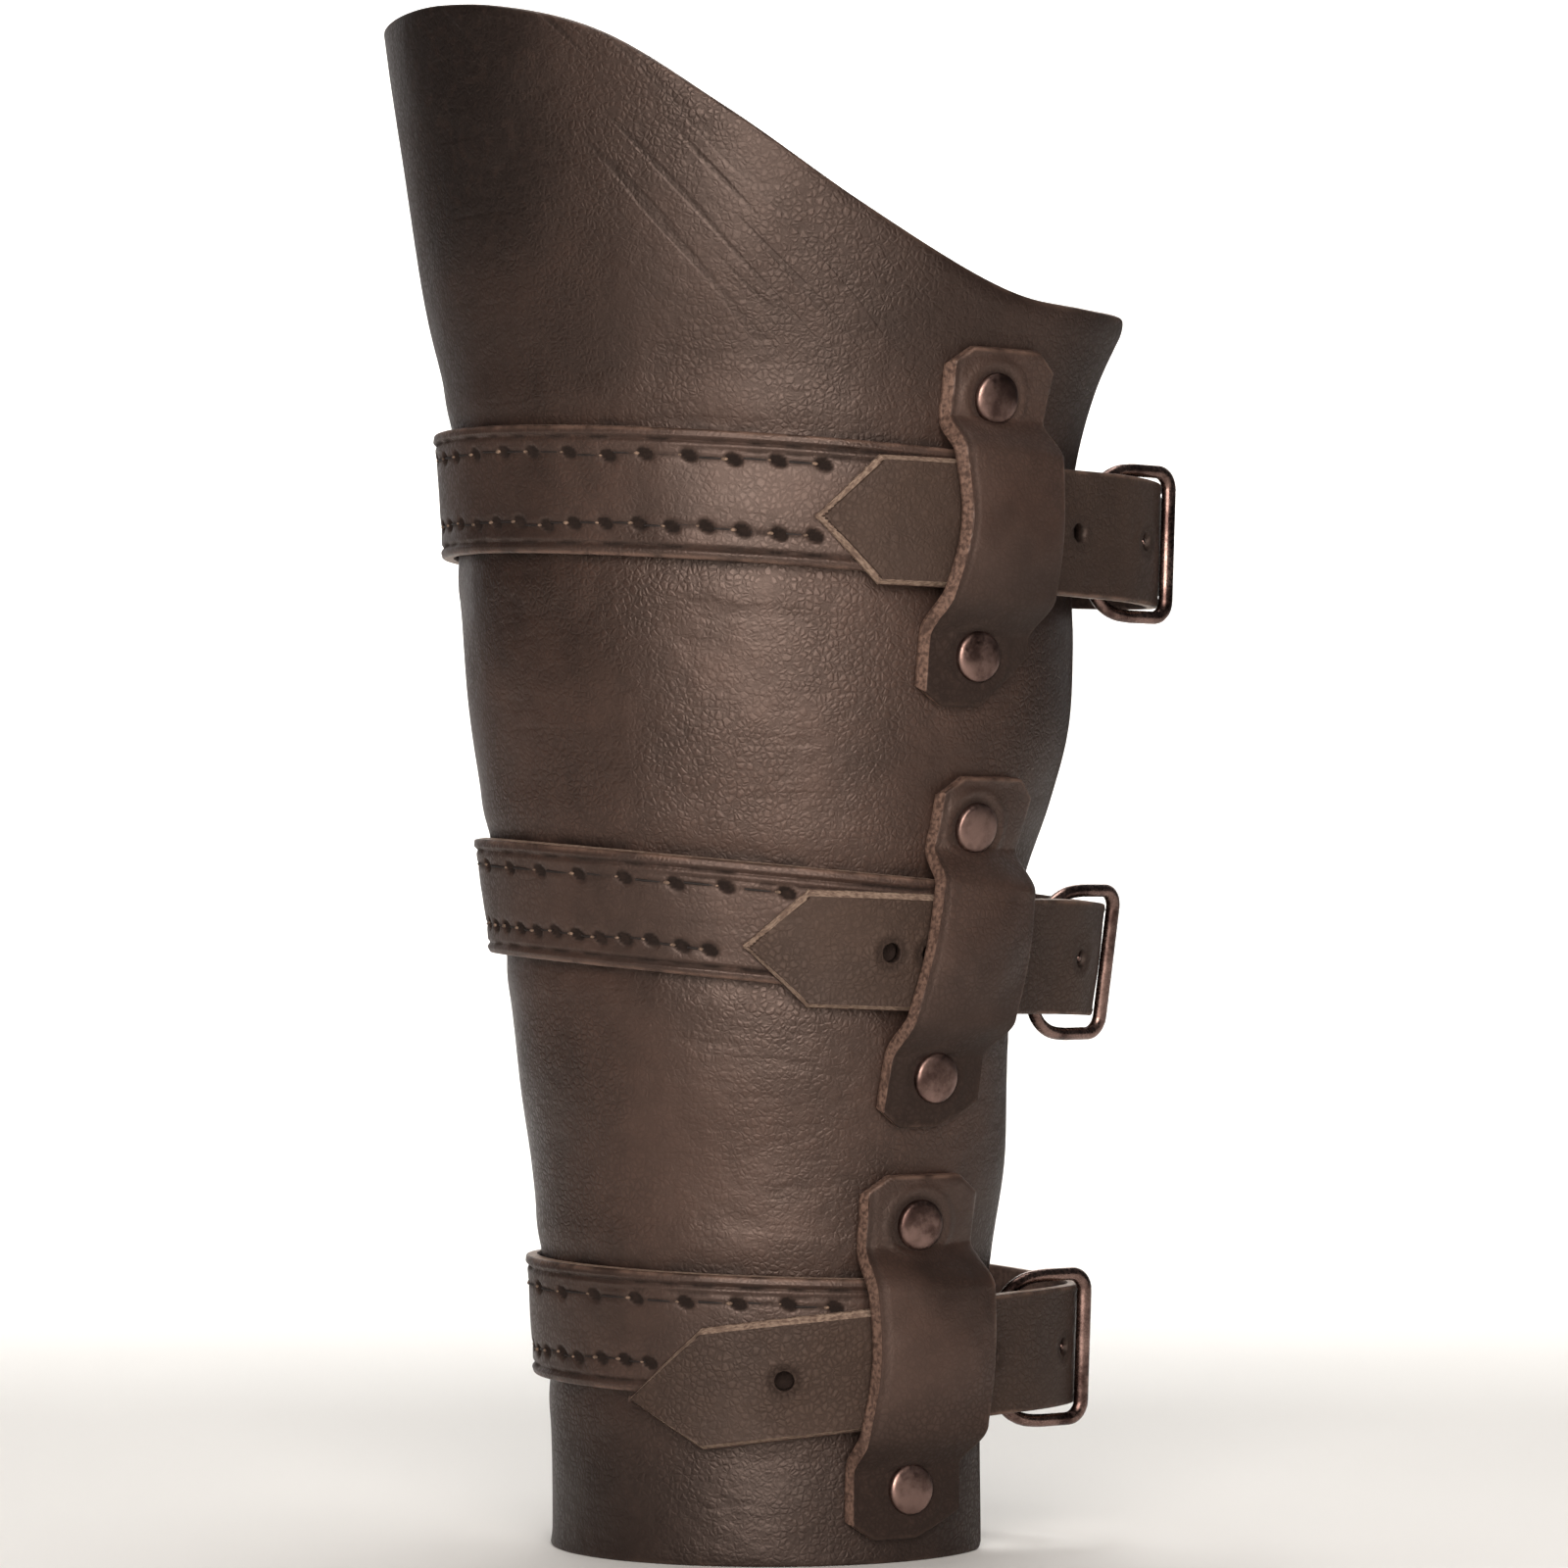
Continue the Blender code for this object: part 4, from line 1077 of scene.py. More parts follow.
# Along the edge of a narrowing strap the columns keep their distance from it within this zone
EDGE_ZONE = 0.0026


def bar_axes(place):
    """Level way towards the outer bar and the outward way, both square to the inner bar."""
    way = unit(np.cross(np.cross(place.up, place.way), place.up))
    return way, unit(np.cross(way, place.up))


def round_bar(place, radius, degrees):
    """Points of a bend round the inner bar, at angles from its outward side."""
    way, facing = bar_axes(place)
    bend = []
    for angle in np.radians(degrees):
        bend.append(place.inner + radius * (math.cos(angle) * facing + math.sin(angle) * way))
    return bend


def belt_lines(belt, place, spread):
    """Middle surface of a whole belt in fine rows, from the folded end at the buckle, over the front,
    the left and the back of the wall, out to the buckle and over itself to the tip of the tongue.
    Gives the rows, their half widths and half thicknesses, and the stretch that each lies in."""
    half = half_width(belt)
    fold_half = min(FOLD_WIDTH / 2, half)
    fold_radius = WIRE_RADIUS + GAP + SKIVED_THICKNESS / 2
    way, facing = bar_axes(place)
    slot_reach = fold_radius + 2 * PRONG_RADIUS
    across = place.up
    column = spread[:, None]
    rows, widths, thick, stretch = [], [], [], []

    def put(points, width, thickness, kind):
        rows.append(points)
        widths.append(width)
        thick.append(thickness / 2)
        stretch.append(kind)

    # The folded end, from its loose end round the inner bar
    layer = -(STRAP_THICKNESS + GAP)
    loose = BAR_DROP + layer - STRAP_THICKNESS / 2 - GAP - SKIVED_THICKNESS / 2
    for back in np.linspace(FOLD_RETURN, 0.0, FOLD_ROWS)[:-1]:
        share = np.interp(back, [0, slot_reach * 0.5, slot_reach, FOLD_RETURN], [0, 0.15, 0.6, 1])
        height = -fold_radius + (loose + fold_radius) * share
        middle = place.inner + height * facing - back * way
        put(middle + fold_half * column * across, fold_half, SKIVED_THICKNESS, FOLDED)
    for middle in round_bar(place, fold_radius, np.linspace(180, 0, BEND_ROWS)):
        put(middle + fold_half * column * across, fold_half, SKIVED_THICKNESS, FOLDED)

    # The lower layer back to the wall, widening and thickening to the full strap
    run = np.linalg.norm(place.over_inner - place.start)
    leave_level = band_level(belt, np.array(float(belt.leave)))
    leave_row = lifted(belt.leave, leave_level + half * spread, LOW)
    plain = strap_point(belt, place, place.length + run, layer)[0]
    plain = plain + across * (leave_level - plain[2]) / across[2]
    drift = leave_row - (plain + half * column * across)
    for share in np.linspace(0, 1, LAYER_ROWS)[1:-1]:
        settle = ease(share * run / slot_reach)
        rise = (fold_radius - BAR_DROP - layer) * (1 - settle)
        middle, facing_here = strap_point(belt, place, place.length + share * run, layer)
        middle = middle + facing_here * rise
        level = place.inner[2] + (leave_level - place.inner[2]) * ease(share)
        middle = middle + across * (level - middle[2]) / across[2]
        widening = ease((share * run - slot_reach) / (run - slot_reach) * 1.8)
        width = fold_half + (half - fold_half) * widening
        thickness = SKIVED_THICKNESS + (STRAP_THICKNESS - SKIVED_THICKNESS) * settle
        put(middle + width * column * across + share * drift, width, thickness, FOLDED)

    # The stitched layer round the wall, finer in front than behind
    front = np.linspace(belt.leave, FINE_TO, FRONT_ROWS)
    back = np.linspace(FINE_TO, BACK_REST, BACK_ROWS)[1:]
    for theta in np.concatenate([front, back]):
        levels = band_level(belt, np.array(theta)) + half * spread
        put(lifted(theta, levels, LOW), half, STRAP_THICKNESS, STITCHED)

    # Off the back of the wall and round to the outer bar
    away = unit(rows[-1] - rows[-2])
    angle = math.atan2(place.way[1], place.way[0]) + place.turn
    bar_row = strap_point(belt, place, 0.0)[0] + half * column * across
    chord = np.linalg.norm(bar_row.mean(axis=0) - rows[-1].mean(axis=0))
    shares = np.linspace(0, 1, BEHIND_ROWS)[1:-1]
    for row in hermite(rows[-1], chord * away, bar_row, -chord * planar(angle), shares):
        put(row, half, STRAP_THICKNESS, BEHIND)

    # Under the outer bar, over the inner bar and back to the wall
    levels = tongue_level(belt, place, distance_at(belt, place, belt.leave)) + half * spread
    end_row = lifted(belt.leave, levels, HIGH)
    plain_end = strap_point(belt, place, place.length + run)[0]
    drift = end_row - (plain_end + half * column * across)
    on_buckle = np.linspace(0, place.length, BUCKLE_ROWS)
    to_wall = place.length + run * np.linspace(0, 1, RETURN_ROWS)[1:-1]
    for distance in np.concatenate([on_buckle, to_wall]):
        middle = strap_point(belt, place, distance)[0]
        share = max(0.0, (distance - place.length) / run)
        put(middle + half * column * across + share * drift, half, STRAP_THICKNESS, BUCKLED)

    # The tongue on the wall, and its point
    total = tongue_length(belt, place)
    point = belt.point * STRAP_WIDTH
    on_wall = np.linspace(place.length + run, total - point, TONGUE_ROWS)
    pointed = total - point * np.linspace(1, 0, POINT_ROWS)[1:]
    for distance in np.concatenate([on_wall, pointed]):
        width = tongue_half(belt, place, distance)
        offsets = np.sign(spread) * (width - drawn_in(spread, half, width))
        levels = tongue_level(belt, place, distance) + offsets
        put(lifted(angle_at(belt, place, distance), levels, HIGH), width, STRAP_THICKNESS, TONGUE)
    return np.array(rows), np.array(widths), np.array(thick), np.array(stretch)


def drawn_in(spread, half, width):
    """Distances of the columns from the nearer edge where a strap narrows. Near an edge they stay as
    they are on the full width."""
    from_edge = half * (1 - np.abs(spread))
    kept = min(EDGE_ZONE, 0.6 * width)
    inner = kept + (from_edge - EDGE_ZONE) / (half - EDGE_ZONE) * (width - kept)
    return np.where(from_edge < EDGE_ZONE, from_edge * kept / EDGE_ZONE, inner)


Stitch = namedtuple("Stitch", "along across place facing tangent size")

# A seam starts and ends short of its layer, and its holes are a little uneven: in their spacing, as a
# share of the pitch, and sideways
SEAM_START, SEAM_END = 0.012, 0.004
PITCH_SPREAD = 0.07
ASIDE_SPREAD = 0.00022

# A stitch this near to the tongue is left out
STITCH_MARGIN = 0.0008

# Degrees past the tip and before the keeper between which the tongue's edges decide
TIP_MARGIN, KEEPER_MARGIN = 3, 14


def under_tongue(belt, place, point):
    """Whether a point on the stitched layer is hidden by the tongue or the keeper."""
    turn = math.degrees(math.atan2(point[0] - CENTRE_X, -point[1] / DEPTH_SHARE))
    if turn < belt.tip - TIP_MARGIN:
        return False
    if turn > belt.keeper_low - KEEPER_MARGIN:
        return True
    distance = distance_at(belt, place, max(turn, belt.tip))
    reach = tongue_half(belt, place, distance) + STITCH_MARGIN
    return abs(point[2] - tongue_level(belt, place, distance)) < reach


def seam_offset(seam, half):
    """Height of a seam over the middle of its belt."""
    return half - seam.inset if seam.edge == "top" else seam.inset - half


def read_off(spot, places, line):
    """Point of a line at a spot, given the places of the line's points."""
    return np.array([np.interp(spot, places, line[:, k]) for k in range(line.shape[1])])


def stitches_of(belt, place, rows, normals, along, spread):
    """Places of a belt's stitch holes, on the stitched layer's face, a little unevenly spaced."""
    half = half_width(belt)
    rng = np.random.default_rng(17 + BELTS.index(belt))
    found = []
    for seam in SEAMS:
        if seam.belt != belt.name:
            continue
        offset = seam_offset(seam, half)
        line = np.array([read_off(offset / half, spread, row) for row in rows])
        faces = np.array([read_off(offset / half, spread, row) for row in normals])
        spots = np.arange(along[0] + SEAM_START, along[-1] - SEAM_END, seam.pitch)
        spots = spots + rng.uniform(-PITCH_SPREAD, PITCH_SPREAD, len(spots)) * seam.pitch
        asides = rng.normal(0, ASIDE_SPREAD, len(spots))
        for spot, aside in zip(spots, asides):
            middle = read_off(spot, along, line)
            if under_tongue(belt, place, middle):
                continue
            facing = unit(read_off(spot, along, faces))
            tangent = unit(read_off(spot + 0.001, along, line) - middle)
            found.append(Stitch(spot, offset + aside, middle + UP * aside, facing, tangent, seam.pitch))
    return found


# Columns of a belt: how many lie how far to each side of a seam and of a pressed line, where they lie on
# a skived edge as shares of its width, and how far the even ones keep from a seam
SEAM_COLUMNS, SEAM_ZONE = 9, 0.0018
LINE_COLUMNS, LINE_ZONE = 7, 0.0009
SKIVE_COLUMNS = (0.75, 1.0, 1.25)
EVEN_COLUMNS = 24
CLEAR_OF_SEAM = 0.0021


def belt_columns(belt, sizes):
    """Places of a belt's columns, as shares of its half width. They lie closer together along the
    stitch rows, the pressed lines and the skived edges."""
    half = half_width(belt)
    radius = sizes.edge_rounding
    seams = [seam_offset(seam, half) for seam in SEAMS if seam.belt == belt.name]
    places = []
    for seam in seams:
        places += list(seam + np.linspace(-SEAM_ZONE, SEAM_ZONE, SEAM_COLUMNS))
    for side in (-1, 1):
        beside = np.linspace(-LINE_ZONE, LINE_ZONE, LINE_COLUMNS)
        places += list(side * (half - sizes.crease + beside))
        places += list(side * (half - sizes.point_bevel * np.array(SKIVE_COLUMNS)))
    for at in edged_line(2 * half, radius, EVEN_COLUMNS) - half:
        clear = min(abs(at - seam) for seam in seams) > CLEAR_OF_SEAM
        if clear or abs(at) > half - radius * 1.1:
            places.append(at)
    return np.array(sorted(places)) / half


# Relief of the straps, in metres: the pressed line along an edge and the ridge beside it, the second
# line that follows the first along the top edge, and how far that one runs from the keeper
LINE_DEPTH, LINE_BREADTH = 0.0004, 0.00042
RIDGE_HEIGHT, RIDGE_BREADTH, RIDGE_OFFSET = 0.00018, 0.0005, 0.0009
SECOND_LINE, SECOND_OFFSET, SECOND_BREADTH = 0.7, 0.0015, 0.0004
SECOND_LENGTH, SECOND_FADE = 0.085, 0.03

# A stitch: depth of its hole, of the pucker round it and of the groove under its thread
HOLE_DEPTH, PUCKER_DEPTH, GROOVE_DEPTH = 0.00070, 0.00016, 0.00022
PUCKER_LENGTH, PUCKER_WIDTH, GROOVE_WIDTH = 0.0026, 0.0020, 0.00045
STITCH_REACH = 0.012

# Cosine and sine of the slant at which the holes are pricked
PRICK_COS, PRICK_SIN = 0.92, 0.38

# The rim of a strap hole: a worn ring sunk round it, and a swell outside the ring
RIM_DEPTH, RIM_AT, RIM_BREADTH = 0.00018, 1.35, 0.0007
RIM_SWELL, RIM_SWELL_AT, RIM_SWELL_BREADTH = 0.00022, 1.9, 0.0008

# Over this distance from an edge the straps' relief fades in
RELIEF_FADE = 0.0012


def pressed_lines(sizes, half, spread, from_side, since_keeper):
    """The pressed line along both edges, with the second line beside the top one."""
    line = swell(from_side - sizes.crease, LINE_BREADTH)
    from_top = half * (1 - spread)[None, :]
    second = swell(from_top - sizes.crease - SECOND_OFFSET, SECOND_BREADTH)
    second = second * ease((SECOND_LENGTH - since_keeper) / SECOND_FADE)[:, None]
    return np.maximum(line, SECOND_LINE * second)


def prick(relief, stain_and_shade, stitches, sizes, along, across):
    """Presses the stitch holes, their puckers and the grooves of the thread into a belt's relief, and
    paints shade into the holes and the grooves.
    """
    long, wide = sizes.hole_length / 2, sizes.hole_length * 0.33
    for stitch in stitches:
        near = np.abs(along - stitch.along) < STITCH_REACH
        du = along[near][:, None] - stitch.along
        dv = across[near] - stitch.across
        turned_u, turned_v = du * PRICK_COS + dv * PRICK_SIN, dv * PRICK_COS - du * PRICK_SIN
        hole = np.exp(-(((turned_u / long) ** 2 + (turned_v / wide) ** 2) ** 2.2))
        pucker = np.exp(-((du / PUCKER_LENGTH) ** 2 + (dv / PUCKER_WIDTH) ** 2))
        from_middle = np.abs(du - stitch.size / 2) / (stitch.size / 2)
        groove = swell(dv, GROOVE_WIDTH) * ease(1.2 - from_middle)
        relief[near] -= HOLE_DEPTH * hole + PUCKER_DEPTH * pucker + GROOVE_DEPTH * groove
        # Painted shade darkens the holes, and the grooves under the thread
        stain_and_shade[near] = np.maximum(stain_and_shade[near], np.maximum(np.clip(hole * 3, 0, 1), 0.6 * groove))


def build_belt(belt):
    sizes = bpy.context.scene.vambrace_sizes
    place = PLACES[belt.name]
    half = half_width(belt)
    radius = sizes.edge_rounding
    spread = belt_columns(belt, sizes)
    rows, widths, thick, stretch = belt_lines(belt, place, spread)
    stitched, tongue, upper_layer = stretch == STITCHED, stretch == TONGUE, stretch >= BUCKLED
    middle_column = len(spread) // 2
    sample = np.flatnonzero(stitched)[stitched.sum() // 3]
    normals, flip = outward_normals(rows, sample, middle_column)
    steps = np.linalg.norm(np.diff(rows[:, middle_column], axis=0), axis=1)
    along = np.concatenate([[0.0], np.cumsum(steps)])
    across = widths[:, None] * spread[None, :]
    from_side = widths[:, None] * (1 - np.abs(spread[None, :]))
    point = belt.point * STRAP_WIDTH
    for number in np.flatnonzero(tongue):
        slant = point / math.hypot(point, half) if widths[number] < half * 0.999 else 1.0
        from_side[number] = drawn_in(spread, half, widths[number]) * slant
    to_end = np.minimum(along, along[-1] - along)
    from_edge = np.minimum(from_side, to_end[:, None])
    even = [rounded(line, value, min(radius, value * 0.9)) for line, value in zip(from_edge, thick)]
    lower = np.array(even)
    # The point and the sides of the tongue are skived, so that a pale cut shows round them
    slope = STRAP_THICKNESS * (np.clip(from_edge / sizes.point_bevel, 0, 1) - 0.5)
    started = ease((along - along[tongue][0] - 0.004) / 0.006)[:, None]
    cut = np.minimum(lower, slope * started + lower * (1 - started))
    upper = np.where(tongue[:, None], cut, lower)
    bare = (from_edge <= sizes.point_bevel * 1.01) & tongue[:, None] & (started > 0.5)

    # Unevenness, the pressed line along the edges, the stitch holes and the rims of the strap holes
    full = (stitched | (stretch == BEHIND))[:, None]
    edge_line = pressed_lines(sizes, half, spread, from_side, along - along[stitched][0])
    ridge = swell(from_side - sizes.crease + RIDGE_OFFSET, RIDGE_BREADTH)
    relief = uneven(rows, STRAP_WAVES) + (RIDGE_HEIGHT * ridge - LINE_DEPTH * edge_line) * full
    broken = broken_line(rows, size=0.007, seed=14, middle=0.5, sharpness=2.5)
    stain_and_shade = 0.95 * broken * edge_line * full
    stitches = stitches_of(belt, place, rows[stitched], normals[stitched], along[stitched], spread)
    prick(relief, stain_and_shade, stitches, sizes, along, across)
    ends = []
    for distance in hole_places(belt, place):
        spot = np.linalg.norm(rows - strap_point(belt, place, distance)[0], axis=-1)
        ring = swell(spot - HOLE_RADIUS * RIM_AT, RIM_BREADTH) * upper_layer[:, None]
        round_it = swell(spot - HOLE_RADIUS * RIM_SWELL_AT, RIM_SWELL_BREADTH) * upper_layer[:, None]
        relief += RIM_SWELL * round_it - RIM_DEPTH * ring
        # Wax and dirt lie in a ring round a hole, and painted shade darkens the layer seen through it
        under = ~upper_layer[:, None] * ease(1.6 - spot / (HOLE_RADIUS * 2.2))
        stain_and_shade = np.maximum(stain_and_shade, np.maximum(0.5 * ring, 0.97 * under))
        inside, facing = strap_point(belt, place, distance, -STRAP_THICKNESS / 2)
        ends.append((inside - facing * GAP / 2, inside + facing * (STRAP_THICKNESS + 2 * GAP)))
    fade = ease(from_edge / RELIEF_FADE) * ~bare * (stretch > FOLDED)[:, None]

    piece = leather_slab(
        belt.name + "_strap",
        rows,
        normals,
        upper + relief * fade,
        lower,
        leather_set("strap_leather_waxed", "leather_edge_pale", "strap_leather_dull"),
        rubbed_and_shaded_map(from_edge, stain_and_shade),
        flip=flip,
        bare=bare,
        cover=np.repeat(upper_layer[:, None], len(spread), axis=1),
    )
    cut_out(piece, ends, HOLE_RADIUS, finishes()["leather_hole_waxed"], slot_shape(place))
    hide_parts(belt.name + "_belt")
    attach(piece, "root")
    return stitches


def slot_shape(place):
    """The slot for the prong through the folded end, as a closed bent bar round the inner bar."""
    fold_radius = WIRE_RADIUS + GAP + SKIVED_THICKNESS / 2
    way, facing = bar_axes(place)
    reach = 0.9 * (fold_radius + 2 * PRONG_RADIUS)
    points = [place.inner - fold_radius * facing - reach * way]
    points += round_bar(place, fold_radius, np.linspace(180, 0, 15))
    points += [place.inner + fold_radius * facing - reach * way]
    side = np.repeat(place.up[None, :], len(points), axis=0)
    radii = np.tile([PRONG_RADIUS + SLOT_PLAY, 1.1 * SKIVED_THICKNESS], (len(points), 1))
    return tube(points, 16, side, radii)


# Geometry nodes
def node_group(name, numbers, materials):
    """A tree of geometry nodes with its number and material inputs, and the sockets it is given."""
    tree = bpy.data.node_groups.new(name, "GeometryNodeTree")
    face = tree.interface
    face.new_socket("Geometry", in_out="OUTPUT", socket_type="NodeSocketGeometry")
    face.new_socket("Geometry", in_out="INPUT", socket_type="NodeSocketGeometry")
    for title, value in numbers.items():
        face.new_socket(title, in_out="INPUT", socket_type="NodeSocketFloat").default_value = value
    for title in materials:
        face.new_socket(title, in_out="INPUT", socket_type="NodeSocketMaterial")
    return tree, add(tree, "NodeGroupInput").outputs


def vector(tree, x=0.0, y=0.0, z=0.0):
    return add(tree, "ShaderNodeCombineXYZ", {0: x, 1: y, 2: z}).outputs[0]


def scaled(tree, value, size):
    return add(tree, "ShaderNodeVectorMath", {0: value, "Scale": size}, operation="SCALE").outputs[0]


def carried(tree, title, kind="FLOAT_VECTOR"):
    """A value that the points carry."""
    return add(tree, "GeometryNodeInputNamedAttribute", {"Name": title}, data_type=kind).outputs[0]


def aimed(tree, first, second):
    """Rotation that turns X along a point's tangent and Z along its facing. The first is met exactly."""
    axes = {"tangent": "X", "facing": "Z"}
    inputs = {"Primary Axis": carried(tree, first), "Secondary Axis": carried(tree, second)}
    kinds = {"primary_axis": axes[first], "secondary_axis": axes[second]}
    return add(tree, "FunctionNodeAxesToRotation", inputs, **kinds).outputs[0]


def set_out(tree, dots, shape, turned, size, finish):
    """Copies of a shape on points, as one mesh in a material."""
    inputs = {"Points": dots, "Instance": shape, "Rotation": turned, "Scale": size}
    made = add(tree, "GeometryNodeInstanceOnPoints", inputs).outputs[0]
    made = add(tree, "GeometryNodeRealizeInstances", {"Geometry": made}).outputs[0]
    return add(tree, "GeometryNodeSetMaterial", {"Geometry": made, "Material": finish}).outputs[0]


def joined(tree, *parts):
    both = add(tree, "GeometryNodeJoinGeometry")
    for part in parts:
        tree.links.new(part, both.inputs[0])
    return both.outputs[0]


def smooth_output(tree, geometry):
    smooth = add(tree, "GeometryNodeSetShadeSmooth", {"Geometry": geometry})
    add(tree, "NodeGroupOutput", {"Geometry": smooth.outputs[0]})
    return tree


def moved(tree, geometry, offset):
    inputs = {"Geometry": geometry, "Translation": offset}
    return add(tree, "GeometryNodeTransform", inputs).outputs[0]


# The stitching

# A stitch covers this share of its pitch. It is drawn one unit long, with its thread and its bow in
# units of the thread's scale
STITCH_SHARE = 0.6
THREAD_SCALE = 0.008
STITCH_BOW = 0.05

# The thread ends are flattened beads of uneven size
BEAD_LEAST, BEAD_MOST, BEAD_SEED = 0.5, 1.2, 4
BEAD_FLATTENED = 0.55

# How far the thread lies under the face of the strap
THREAD_SINK = 0.00060


def stitch_tree():
    """Geometry nodes: a short bowed stitch of thread on each point, with the loop of the next one."""
    numbers = {"Thread Width": 0.0006, "Rise": 0.0003, "End Size": 0.0006, "End Shift": 0.0017}
    tree, given = node_group("sewn_stitches", numbers, ("Thread", "Thread End"))
    dots = add(tree, "GeometryNodeMeshToPoints", {"Mesh": given["Geometry"]}).outputs[0]
    turned = aimed(tree, "tangent", "facing")
    line = {
        "Resolution": 5,
        "Start": (0.5 - STITCH_SHARE / 2, 0.0, 0.0),
        "Middle": (0.5, 0.0, STITCH_BOW),
        "End": (0.5 + STITCH_SHARE / 2, 0.0, 0.0),
    }
    bow = add(tree, "GeometryNodeCurveQuadraticBezier", line).outputs[0]
    width = math_node(tree, "DIVIDE", given["Thread Width"], 2 * THREAD_SCALE)
    profile = add(tree, "GeometryNodeCurvePrimitiveCircle", {"Resolution": 6, "Radius": width}).outputs[0]
    inputs = {"Curve": bow, "Profile Curve": profile, "Fill Caps": True}
    thread = add(tree, "GeometryNodeCurveToMesh", inputs).outputs[0]
    size = vector(tree, carried(tree, "size", "FLOAT"), THREAD_SCALE, THREAD_SCALE)
    runs = set_out(tree, dots, thread, turned, size, given["Thread"])

    # The end shows beside its hole, a little above the leather, in a paler thread that paints a highlight
    bead = add(tree, "GeometryNodeMeshIcoSphere", {"Radius": 1.0, "Subdivisions": 2}).outputs[0]
    sizes = {2: BEAD_LEAST, 3: BEAD_MOST, "Seed": BEAD_SEED}
    wobble = add(tree, "FunctionNodeRandomValue", sizes, data_type="FLOAT").outputs[1]
    bead_size = times(tree, given["End Size"], wobble)
    flat = times(tree, bead_size, BEAD_FLATTENED)
    beside = scaled(tree, carried(tree, "tangent"), given["End Shift"])
    over = scaled(tree, carried(tree, "facing"), given["Rise"])
    shift = add(tree, "ShaderNodeVectorMath", {0: beside, 1: over}).outputs[0]
    shifted = add(tree, "GeometryNodeSetPosition", {"Geometry": dots, "Offset": shift}).outputs[0]
    ends = set_out(tree, shifted, bead, turned, vector(tree, bead_size, flat, flat), given["Thread End"])
    return smooth_output(tree, joined(tree, runs, ends))


def dotted(name, places, vectors, numbers):
    """Loose points that carry directions and sizes for a node tree."""
    mesh = bpy.data.meshes.new(name)
    mesh.from_pydata([tuple(place) for place in places], [], [])
    for kind, part, carries in (("FLOAT_VECTOR", "vector", vectors), ("FLOAT", "value", numbers)):
        for title, values in carries.items():
            layer = mesh.attributes.new(title, kind, "POINT")
            layer.data.foreach_set(part, np.asarray(values, np.float32).ravel())
    return new_object(name, mesh)


def grow(piece, tree, values):
    """Runs a node tree on a piece with inputs by name, and keeps its plain mesh."""
    modifier = piece.modifiers.new("grown", "NODES")
    modifier.node_group = tree
    for item in tree.interface.items_tree:
        if item.in_out == "INPUT" and item.name in values:
            modifier[item.identifier] = values[item.name]
    return plain_mesh(piece)


def build_seam(belt, stitches, tree):
    made = finishes()
    rise = STRAP_THICKNESS / 2 - THREAD_SINK
    piece = dotted(
        belt.name + "_seam_thread",
        [stitch.place + stitch.facing * rise for stitch in stitches],
        {"tangent": [s.tangent for s in stitches], "facing": [s.facing for s in stitches]},
        {"size": [s.size for s in stitches]},
    )
    values = {
        "Thread Width": bpy.context.scene.vambrace_sizes.thread,
        "Thread": made["linen_thread_waxed"],
        "Thread End": made["linen_thread_end"],
    }
    grow(piece, tree, values)
    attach(piece, "root")
    return piece


# The keepers

# Rows and even columns of a keeper, where the columns lie on its cut as shares of the cut's width, and
# a row between its two rivets
KEEPER_ROWS, KEEPER_COLUMNS = 130, 44
CUT_COLUMNS = (0.85, 1.0, 1.15)
KEEPER_MIDDLE = 60

# Shares of the half width from which the corners are clipped and from which the low right one is
CLIP_FROM, LOW_CLIP_FROM = 0.6, 0.1

# How much the arch falls towards the sides, and how sharply the waist is drawn in
ARCH_FALL, WAIST_POWER = 0.4, 1.5

# Painted shade towards the low end: its strength, and the share of the height where it ends
LOW_SHADE, LOW_SHADE_END = 0.8, 0.55

# Share of the thickness that is left at the edge of the slanted cut
CUT_LEFT = 0.06

# The leather round a rivet: pressed down under the cap, raised in a ring round it, and darkened by a
# painted shadow ring at the cap's rim. The distances are shares of the cap's radius, and the rest is in
# metres
PINCH_DEPTH, PINCH_AT = 0.0004, 1.45
PINCH_SWELL, PINCH_SWELL_AT, PINCH_SWELL_BREADTH = 0.00034, 1.42, 0.0009
CAP_SHADOW, CAP_SHADOW_AT, CAP_SHADOW_BREADTH = 0.75, 1.04, 0.0006

# A pressed line follows the slanted cut
CUT_LINE_DEPTH, CUT_LINE_OFFSET, CUT_LINE_BREADTH = 0.0002, 0.0009, 0.0004

# Over this distance from an edge the keepers' relief fades in
KEEPER_FADE = 0.0015


